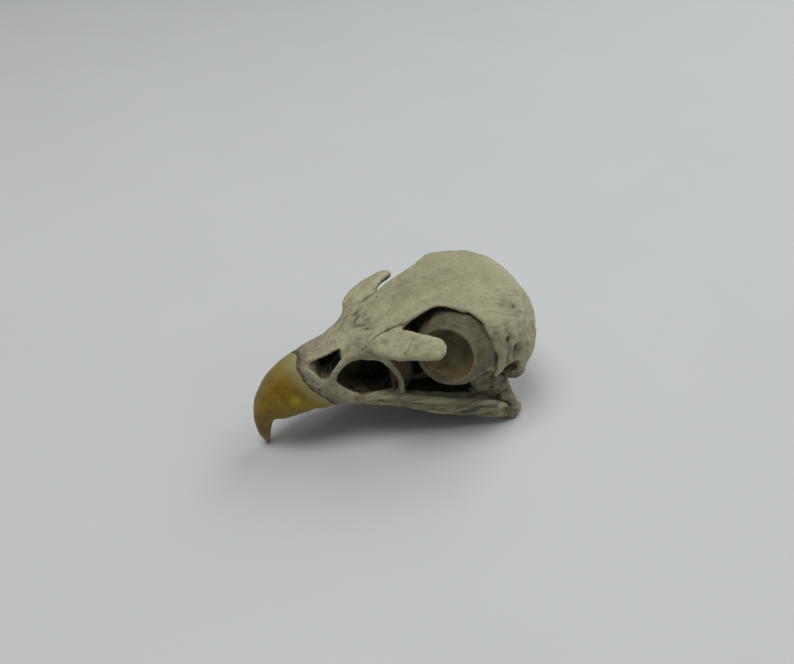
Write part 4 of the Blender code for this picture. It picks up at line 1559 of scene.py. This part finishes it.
@dataclass
class Skull:
    """The bones that have grown together: cranium, bony bill, brows and cheek bars."""

    head: Head = field(default_factory=Head)
    bill: Bill = field(default_factory=Bill)
    brow: Brow = field(default_factory=Brow)
    bar: CheekBar = field(default_factory=CheekBar)
    voxel: float = 0.345
    bill_behind: float = -14.0  # X before which dirt gathers behind the sheath
    eye_front: float = -5.0  # X of the eye socket's front
    shelter: float = 9.0  # how far off a wall still counts for the dirt and painted shade of sheltered places

    def depths(self, points: np.ndarray) -> np.ndarray:
        """How far inside the uncut head each point lies.

        Args:
            points: The points.

        Returns:
            Their depths in millimetres.
        """
        vault, beak = (form.tree() for form in (self.head.vault_form(False), self.bill.form(False)))
        depths = np.zeros(len(points))
        for i, point in enumerate(points):
            shell = beak if point[0] < self.bill.hinge_x else vault
            place, outward, _, away = shell.find_nearest(Vector(point))
            depths[i] = away if (Vector(point) - place).dot(outward) < 0 else 0.0
        return depths

    def work(self, clay: Clay, depth: np.ndarray) -> None:
        """Stains the bones and works their surface.

        Args:
            clay: The grown-together bones.
            depth: How far inside the uncut head each point lies.
        """
        # dirt behind the sheath's edge
        x, _, z = clay.points.T
        behind, front = x - self.bill.edge_at(z), x < self.bill_behind
        ragged = 1 + 0.5 * clay.grain(1.3, 31.0, 2.0)
        clay.stain = front * (ease(behind, 1.2, 0.1) * 0.5 + (0.5 + 0.3 * clay.grain(0.8, 35.0)) *
                              ease(behind * ragged, 3.0, 1.0))
        clay.work([*self.head.marks(), *self.bill.marks(), *self.brow.marks(), *self.bar.marks()])
        # darker low on the face; dirt and painted shadow of the brow on the inside of the arch
        x, out, z = clay.folded.T
        low = ease(z, 19.0, 16.0) * ease(out, 7.0, 9.5) * (x > -16)
        arch = ease(x, -9.0, -5.5) * ease(x, 2.0, -1.0) * (ease(z, 29.0, 25.0) * ease(out, 13.0, 12.2))
        streaks = 0.42 + 0.70 * clay.grain(1.6, 41.0, 4.0, (7.0, 1.2, 1.0))
        clay.stain = np.maximum(np.maximum(clay.stain, arch * 0.5), low * streaks)
        # threads low on the face and on the temple, a rough inside, and a step at the sheath's edge
        inside = ease(depth, 0.8, 2.4)
        temple = ease(x, 20.0, 24.0) * ease(z, 38.0, 32.0)
        fibres = clay.grain(1.1, 51.0, 4.0, (6.0, 1.0, 1.0)) * (0.08 + 0.16 * low)
        fibres += clay.grain(1.0, 55.0, 4.0, (1.0, 1.0, 4.5)) * 0.16 * temple
        clay.push(0.14 * clay.grain(7.0, 3.0) + (0.07 + 0.35 * inside) * clay.grain(1.7, 9.0) + fibres
                  - 0.30 * ease(behind, 0.25, -0.5) * front)

    def darkness(self, clay: Clay, depth: np.ndarray) -> dict[str, np.ndarray]:
        """Finds where the inside of the head is dark, as dirt and rust with painted shade, and where the
        surface is sheltered.

        Args:
            clay: The grown-together bones.
            depth: How far inside the uncut head each point lies.

        Returns:
            The values by the name that the material reads them by.
        """
        x, out, z = clay.folded.T
        # dirt and rust inside the head, going black as painted shade where it lies deepest
        before_eye = x < self.eye_front
        nose = ease(x, -15.5, -17.5) * ease(z, 21.5, 24.0) * (0.55 + 0.45 * ease(x, -23.5, -20.5))
        dark = np.where(before_eye, np.maximum(0.5 + 0.5 * ease(x, -13.0, -9.0), nose),
                        0.34 + 0.66 * ease(z, 25.0, 18.0))
        deep = clay.average(np.minimum(depth / (5.5 - 3.0 * nose), 1.0) * dark, 3)
        # painted shade, with dirt, in the hollow from the opening in front of the eye to the eye's ring
        cavity = ease(out, 10.6, 9.4) * ease(x, -21.0, -20.0) * ease(x, 8.0, 6.0) * ease(z, 32.0, 30.0)
        floor = np.maximum(ease(x, -5.5, -4.5), ease(x, -15.5, -13.5) * ease(z, 26.0, 22.0))
        cavity = cavity * ease(z, 13.0, 15.0) * np.maximum(ease(depth, 0.4, 1.4), floor)
        # the painted shade is blacker at the back of the opening and into the eye socket
        blacker = 0.35 * ease(x, -12.5, -8.0) * before_eye + 0.35 * ease(x, -4.0, 3.0)
        return {"deep": np.maximum(deep, cavity * (0.68 + blacker)), "shade": clay.sheltered(self.shelter)}

    def build(self) -> dict[str, Solid]:
        """Models the grown-together bones and parts them.

        Returns:
            The bones by the CAD node that each stands for.
        """
        parts = [*self.head.solids(), self.bill.bone_solid(self.head)]
        for side in Side:
            parts += self.brow.solids(side) + self.bar.solids(side)
        skin = one_skin("cranium_bone", parts, self.voxel)
        clay = Clay(skin)
        clay.relax(2)
        clay.weld([*self.head.welds(), *self.brow.welds(), *self.bar.welds()])
        depth = self.depths(clay.points)
        self.work(clay, depth)
        values = clay.dirt_and_highlights() | self.darkness(clay, depth)
        clay.store()
        places = clay.places()
        bones = {"upper_bill": parted(skin, "bill_bone", self.bill.region)}
        for side in Side:
            for node, name, region in (("brow", "brow_blade", self.brow.region),
                                       ("jugal_bar", "cheek_bar", self.bar.region)):
                bones[f"{node}_{side.word}"] = parted(skin, f"{name}_{side.word}", partial(region, side))
        bones["cranium"] = skin
        for bone in bones.values():
            Clay(bone).paint_like(places, values)
        return bones


@dataclass
class JawJoint:
    """The loose bones of the palate and the jaw joint: quadrate, pterygoid and palatine."""

    quadrate: Track = Track((
        (26.4, 14.6, 13.6, 1.9, 1.9), (27.6, 15.4, 10.2, 1.8, 1.9), (29.0, 15.9, 6.4, 1.9, 2.2),
        (30.1, 16.8, 2.7, 2.3, 2.5), (30.2, 17.0, -0.1, 1.7, 1.8)))
    lumps: tuple[tuple[Point, Point], ...] = (
        ((31.6, 16.8, 2.4), (1.9, 1.8, 1.9)), ((26.8, 16.2, 12.2), (2.0, 1.6, 2.2)),
        ((27.6, 16.6, 8.4), (2.0, 1.6, 2.2)), ((29.2, 17.6, 1.8), (1.6, 1.5, 1.6)),
        ((25.6, 15.4, 9.6), (2.2, 1.4, 1.8)), ((24.6, 15.4, 13.4), (2.8, 1.8, 2.6)),
        ((21.2, 14.6, 12.6), (2.6, 1.5, 2.2)), ((20.2, 13.4, 14.4), (2.6, 1.6, 2.8)),
        ((22.7, 14.0, 15.0), (2.4, 1.6, 2.4)), ((26.2, 16.2, 5.9), (1.5, 1.2, 1.5)))
    hollows: tuple[Crease, ...] = (
        Crease(((28.6, 17.4, 4.9),), 1.1, 1.0, 0.8), Crease(((23.0, 16.4, 12.8),), 0.7, 0.6, 0.9),
        Crease(((20.6, 15.6, 11.0),), 0.5, 0.4, 0.9), Crease(((25.2, 17.0, 9.0),), 0.6, 0.5, 0.9),
        Crease(((27.6, 17.2, 10.4),), 0.6, 0.5, 0.8), Crease(((26.4, 16.6, 13.6),), 0.8, 0.4, 0.5),
        Crease(((31.0, 18.4, 3.4),), 0.5, -0.2))
    spur: Track = Track((
        (29.0, 15.6, 7.4, 1.4, 2.6), (24.4, 14.7, 9.0, 1.4, 2.8), (19.4, 13.8, 10.2, 1.1, 2.1),
        (17.6, 13.5, 10.6, 0.6, 1.2)))
    pterygoid: Track = Track((
        (18.2, 3.4, 6.8, 0.9, 0.9), (21.6, 7.0, 5.8, 1.6, 0.9), (25.4, 12.0, 4.6, 1.1, 1.1),
        (27.2, 14.2, 4.6, 1.2, 1.3)))
    palatine: Track = Track((
        (-18.4, 2.8, 13.4, 1.6, 0.5), (-8.0, 4.4, 12.2, 3.9, 0.5), (4.0, 5.3, 9.6, 4.9, 0.6),
        (12.0, 5.6, 8.2, 5.0, 0.7), (17.0, 6.2, 7.4, 4.8, 0.7), (20.6, 7.2, 6.6, 3.8, 0.7),
        (23.0, 8.6, 6.0, 1.6, 0.7)))
    voxel: float = 0.26
    shaded_top_from: float = 0.6  # bones with more dirt than this get painted shade on their upper side
    # how dark the painted shade on that upper side is
    soot: float = 0.60
    shelter: float = 5.0  # how far off a wall still counts for the dirt and painted shade of sheltered places

    def finished(self, name: str, parts: list[Solid], rough: float, dirt: float,
                 marks: Iterable[Crease] = ()) -> Solid:
        """Melts and works one bone.

        Args:
            name: The bone's name.
            parts: Its solids.
            rough: How lumpy its surface is, in millimetres.
            dirt: How stained all of it is, from 0 to 1; for the bones of the palate, partly painted shade.
            marks: Its grooves and lumps.

        Returns:
            The bone.
        """
        clay = Clay(one_skin(name, parts, self.voxel))
        clay.relax(3)
        clay.stain += dirt
        clay.work(marks)
        clay.push(rough * clay.grain(2.6, 4.0) + 0.4 * rough * clay.grain(0.9, 8.0))
        clay.points[:, 2] = np.maximum(clay.points[:, 2], 0.02)
        # painted shade on the upper side of the palate's bones, which lies under the head
        shaded_top = self.soot * (dirt > self.shaded_top_from) * ease(clay.normals()[:, 2], 0.0, 0.5)
        clay.paint_all(clay.dirt_and_highlights() | {"shade": clay.sheltered(self.shelter), "deep": shaded_top})
        clay.store()
        return clay.obj

    def build(self, side: Side) -> dict[str, Solid]:
        """Models the bones of one side.

        Args:
            side: Which side.

        Returns:
            The bones by the CAD node that each stands for.
        """
        word = side.word
        knobs = [Head.ball(lump, side, "knob") for lump in self.lumps]
        return {
            "quadrate": self.finished(f"quadrate_bone_{word}", [
                swept(self.quadrate, side).made("post"), swept(self.spur, side).made("spur"), *knobs],
                0.42, 0.48, self.hollows),
            # the pterygoid and palatine are stained dark, partly as painted shade under the head
            "pterygoid": self.finished(f"pterygoid_bone_{word}", [
                swept(self.pterygoid, side).made("rod")], 0.12, 0.7),
            "palatine": self.finished(f"palatine_bone_{word}", [
                swept(self.palatine, side, 50).made("leaf")], 0.14, 0.8),
        }


@dataclass
class Eye:
    """The bony ring round the eye and the dried membrane inside it, turned about the eye's axis."""

    centre: Point = (13.0, 11.3, 26.8)
    axis: Point = (-0.69, 0.695, 0.21)
    ring: Rows = (
        (9.5, 0.6), (9.0, 1.7), (8.5, 2.9), (8.05, 4.1), (7.7, 5.1), (7.45, 5.9), (7.38, 6.4), (7.5, 6.75),
        (7.8, 6.9), (8.2, 6.85), (8.7, 6.5), (9.3, 5.9), (9.9, 5.0), (10.45, 3.9), (10.85, 2.7),
        (11.0, 1.5), (10.9, 0.6), (10.3, 0.05), (9.8, 0.1))
    dish: Rows = ((0.0, 2.3), (2.0, 2.35), (4.0, 2.5), (5.6, 2.8), (6.8, 3.4), (7.8, 4.3), (7.8, 3.2),
                  (5.6, 1.6), (0.0, 1.2))
    lean: Point = (1.3, 0.1, 1.7)  # how far the ring's foot is moved back and up
    height: float = 6.9  # of the ring
    plates: int = 14
    steps: int = 180

    def matrix(self, side: Side) -> Matrix:
        """Where the eye's own frame sits.

        Args:
            side: Which side.

        Returns:
            The matrix from that frame to the tables'.
        """
        x, out, z = self.centre
        axis = Vector((self.axis[0], side.value * self.axis[1], self.axis[2]))
        turn = axis.to_track_quat("Z", "Y").to_matrix().to_4x4()
        return Matrix.Translation((x, side.value * out, z)) @ turn

    def local(self, clay: Clay, side: Side) -> np.ndarray:
        """A mesh's points in the eye's own frame."""
        inverse = np.array(self.matrix(side).inverted())
        return clay.points @ inverse[:3, :3].T + inverse[:3, 3]

    def build_ring(self, side: Side) -> Solid:
        """Models the ring of small overlapping plates.

        Args:
            side: Which side.

        Returns:
            The ring.
        """
        form = Form().turned(self.ring, self.steps)
        bmesh.ops.subdivide_edges(form.bm, edges=[e for e in form.bm.edges if e.calc_length() > 0.55],
                                  cuts=1, use_grid_fill=True)
        clay = Clay(form.placed(self.matrix(side)).made("sclerotic_ring", side))
        x, y, z = self.local(clay, side).T
        clay.points += np.outer(1 - z / self.height, (self.lean[0], side.value * self.lean[1], self.lean[2]))
        radius = np.hypot(x, y)
        wave = clay.grain(2.6, 6.0)
        angle = np.arctan2(y, x) / math.tau * self.plates + 0.18 * np.sin(z * 0.9) + 0.12 * wave
        step = angle - np.floor(angle)
        outer = ease(z, 0.3, 1.4) * ease(z, 6.5, 5.4) * (radius > 8.4)
        specks = ease(clay.grain(0.9, 12.0, 2.0), 0.25, 0.7) * ease(y, 2.0, 8.0)
        clay.push(outer * (0.14 * step - 0.08) + 0.14 * wave + 0.07 * clay.grain(0.8, 2.0)
                  - 0.14 * np.exp(-(((radius - 8.9) / 0.5) ** 2)) * (z > 5.0))
        seams = ease(np.minimum(step, 1 - step), 0.07, 0.0) * outer
        flank = ease(radius, 8.2, 10.4) * (0.30 + 0.25 * clay.grain(2.0, 21.0))
        foot = 0.9 * ease(z, 2.6, 0.8) * (radius > 9.6)
        clay.stain = np.maximum(flank + 0.16 * seams + 0.6 * specks, foot)
        values = clay.dirt_and_highlights() | {"deep": 0.10 * ease(z, 5.2, 3.2) * (radius < 8.8 - 0.1 * z)}
        # a painted highlight along the lip of the opening
        values["rubbed"] = np.maximum(values["rubbed"], ease(z, 5.9, 6.5) * ease(radius, 8.7, 8.1))
        clay.paint_all(values)
        clay.store()
        return clay.obj

    def build_dish(self, side: Side) -> Solid:
        """Models the dried membrane.

        Args:
            side: Which side.

        Returns:
            The membrane.
        """
        form = Form().turned(self.dish, 96)
        bmesh.ops.subdivide_edges(form.bm, edges=[e for e in form.bm.edges if e.calc_length() > 0.6],
                                  cuts=2, use_grid_fill=True)
        clay = Clay(form.placed(self.matrix(side)).made("eye_membrane", side))
        radius = np.hypot(*self.local(clay, side).T[:2])
        clay.push(0.30 * clay.grain(2.2, 3.0) * (radius < 7.4))
        clay.paint("rim", ease(radius, 4.4, 7.0))
        clay.store()
        return clay.obj


@dataclass(frozen=True)
class SoftLight:
    """One square soft light that looks at the skull, in metres and watts."""

    name: str
    place: Point
    size: float
    power: float
    colour: Colour
    target: Point = (0.0, 0.0, 0.02)

    def hang(self) -> None:
        """Hangs the light."""
        data = bpy.data.lights.new(self.name, "AREA")
        data.shape, data.size, data.energy, data.color = "SQUARE", self.size, self.power, self.colour
        obj = linked(self.name, data)
        obj.location = self.place
        obj.rotation_euler = (Vector(self.place) - Vector(self.target)).to_track_quat("Z", "Y").to_euler()


@dataclass
class Studio:
    """The pale floor, the soft lights and the camera."""

    azimuth: float = -23.1073
    elevation: float = 37.0
    distance: float = 222.6714
    target: Point = (0.49368, 0.0, 27.31062)  # in the scene's own frame, in millimetres
    focal_pixels: float = 800.0
    photo_width: float = 794.0
    sensor: float = 36.0
    near: float = 0.01  # nothing nearer to the camera than this is seen, in metres
    floor_size: float = 2.5  # half of its side, in metres
    room: Colour = (0.95, 0.96, 0.98)
    ambient: float = 0.20
    lights: tuple[SoftLight, ...] = (
        SoftLight("soft_window", (-0.24, -0.06, 0.98), 0.50, 5.9, (1.0, 0.99, 0.97)),
        SoftLight("soft_side", (0.80, 0.30, 0.85), 0.9, 7.4, (0.97, 0.985, 1.0)),
        SoftLight("soft_front", (0.90, -0.45, 0.40), 0.7, 1.5, (1.0, 0.99, 0.96)))

    def camera(self) -> None:
        """Sets the camera where the photograph was taken from."""
        a, e = math.radians(self.azimuth), math.radians(self.elevation)
        back = Vector((math.sin(a) * math.cos(e), -math.cos(a) * math.cos(e), math.sin(e)))
        lens = bpy.data.cameras.new("photo_camera")
        lens.sensor_width = self.sensor
        lens.lens = self.sensor * self.focal_pixels / self.photo_width
        lens.clip_start = self.near
        obj = linked("photo_camera", lens)
        obj.location = (Vector(self.target) + back * self.distance) * MM
        obj.rotation_euler = back.to_track_quat("Z", "Y").to_euler()
        bpy.context.scene.camera = obj

    def floor(self) -> None:
        """Lays the floor."""
        plane = bmesh.new()
        bmesh.ops.create_grid(plane, x_segments=8, y_segments=8, size=self.floor_size)
        obj = meshed("pale_floor", plane)
        obj.data.materials.append(PaperFinish().material())

    def build(self) -> None:
        """Sets up all of it."""
        self.camera()
        self.floor()
        for light in self.lights:
            light.hang()
        world = bpy.data.worlds.new("studio")
        world.use_nodes = True
        room = world.node_tree.nodes["Background"].inputs
        room["Color"].default_value = (*self.room, 1.0)
        room["Strength"].default_value = self.ambient
        bpy.context.scene.world = world
        bpy.context.scene.view_settings.view_transform = "Standard"


def dress(piece: Solid, material: bpy.types.Material, nodes: Sequence[str]) -> None:
    """Gives a piece its material and its place in the frame.

    Args:
        piece: The piece.
        material: What it is made of.
        nodes: The CAD nodes that it stands for.
    """
    piece.data.materials.clear()
    piece.data.materials.append(material)
    piece.data.polygons.foreach_set("use_smooth", [True] * len(piece.data.polygons))
    piece.data.set_sharp_from_angle(angle=math.radians(SHARP_FROM))
    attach(piece, "root")
    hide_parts(*nodes)
    log.info("%s: %d faces, stands for %s", piece.name, len(piece.data.polygons), ", ".join(nodes))


def main() -> None:
    """Builds the skull and the studio."""
    logging.basicConfig(level=logging.INFO, format="%(message)s")
    Studio().build()
    finishes = BoneFinish(), STAINED_BONE, RING_BONE, HornFinish(), MembraneFinish()
    bone, stained, ring_bone, horn, membrane = (finish.material() for finish in finishes)
    skull = Skull()
    for node, piece in skull.build().items():
        dress(piece, bone, [node])
    dress(skull.bill.build(), horn, ["bill_sheath"])
    for side in Side:
        for node, piece in JawJoint().build(side).items():
            dress(piece, stained, [f"{node}_{side.word}"])
        dress(Eye().build_ring(side), ring_bone, [f"eye_ring_{side.word}"])
        dress(Eye().build_dish(side), membrane, [f"eye_cup_{side.word}"])


if __name__ == "__main__":
    main()
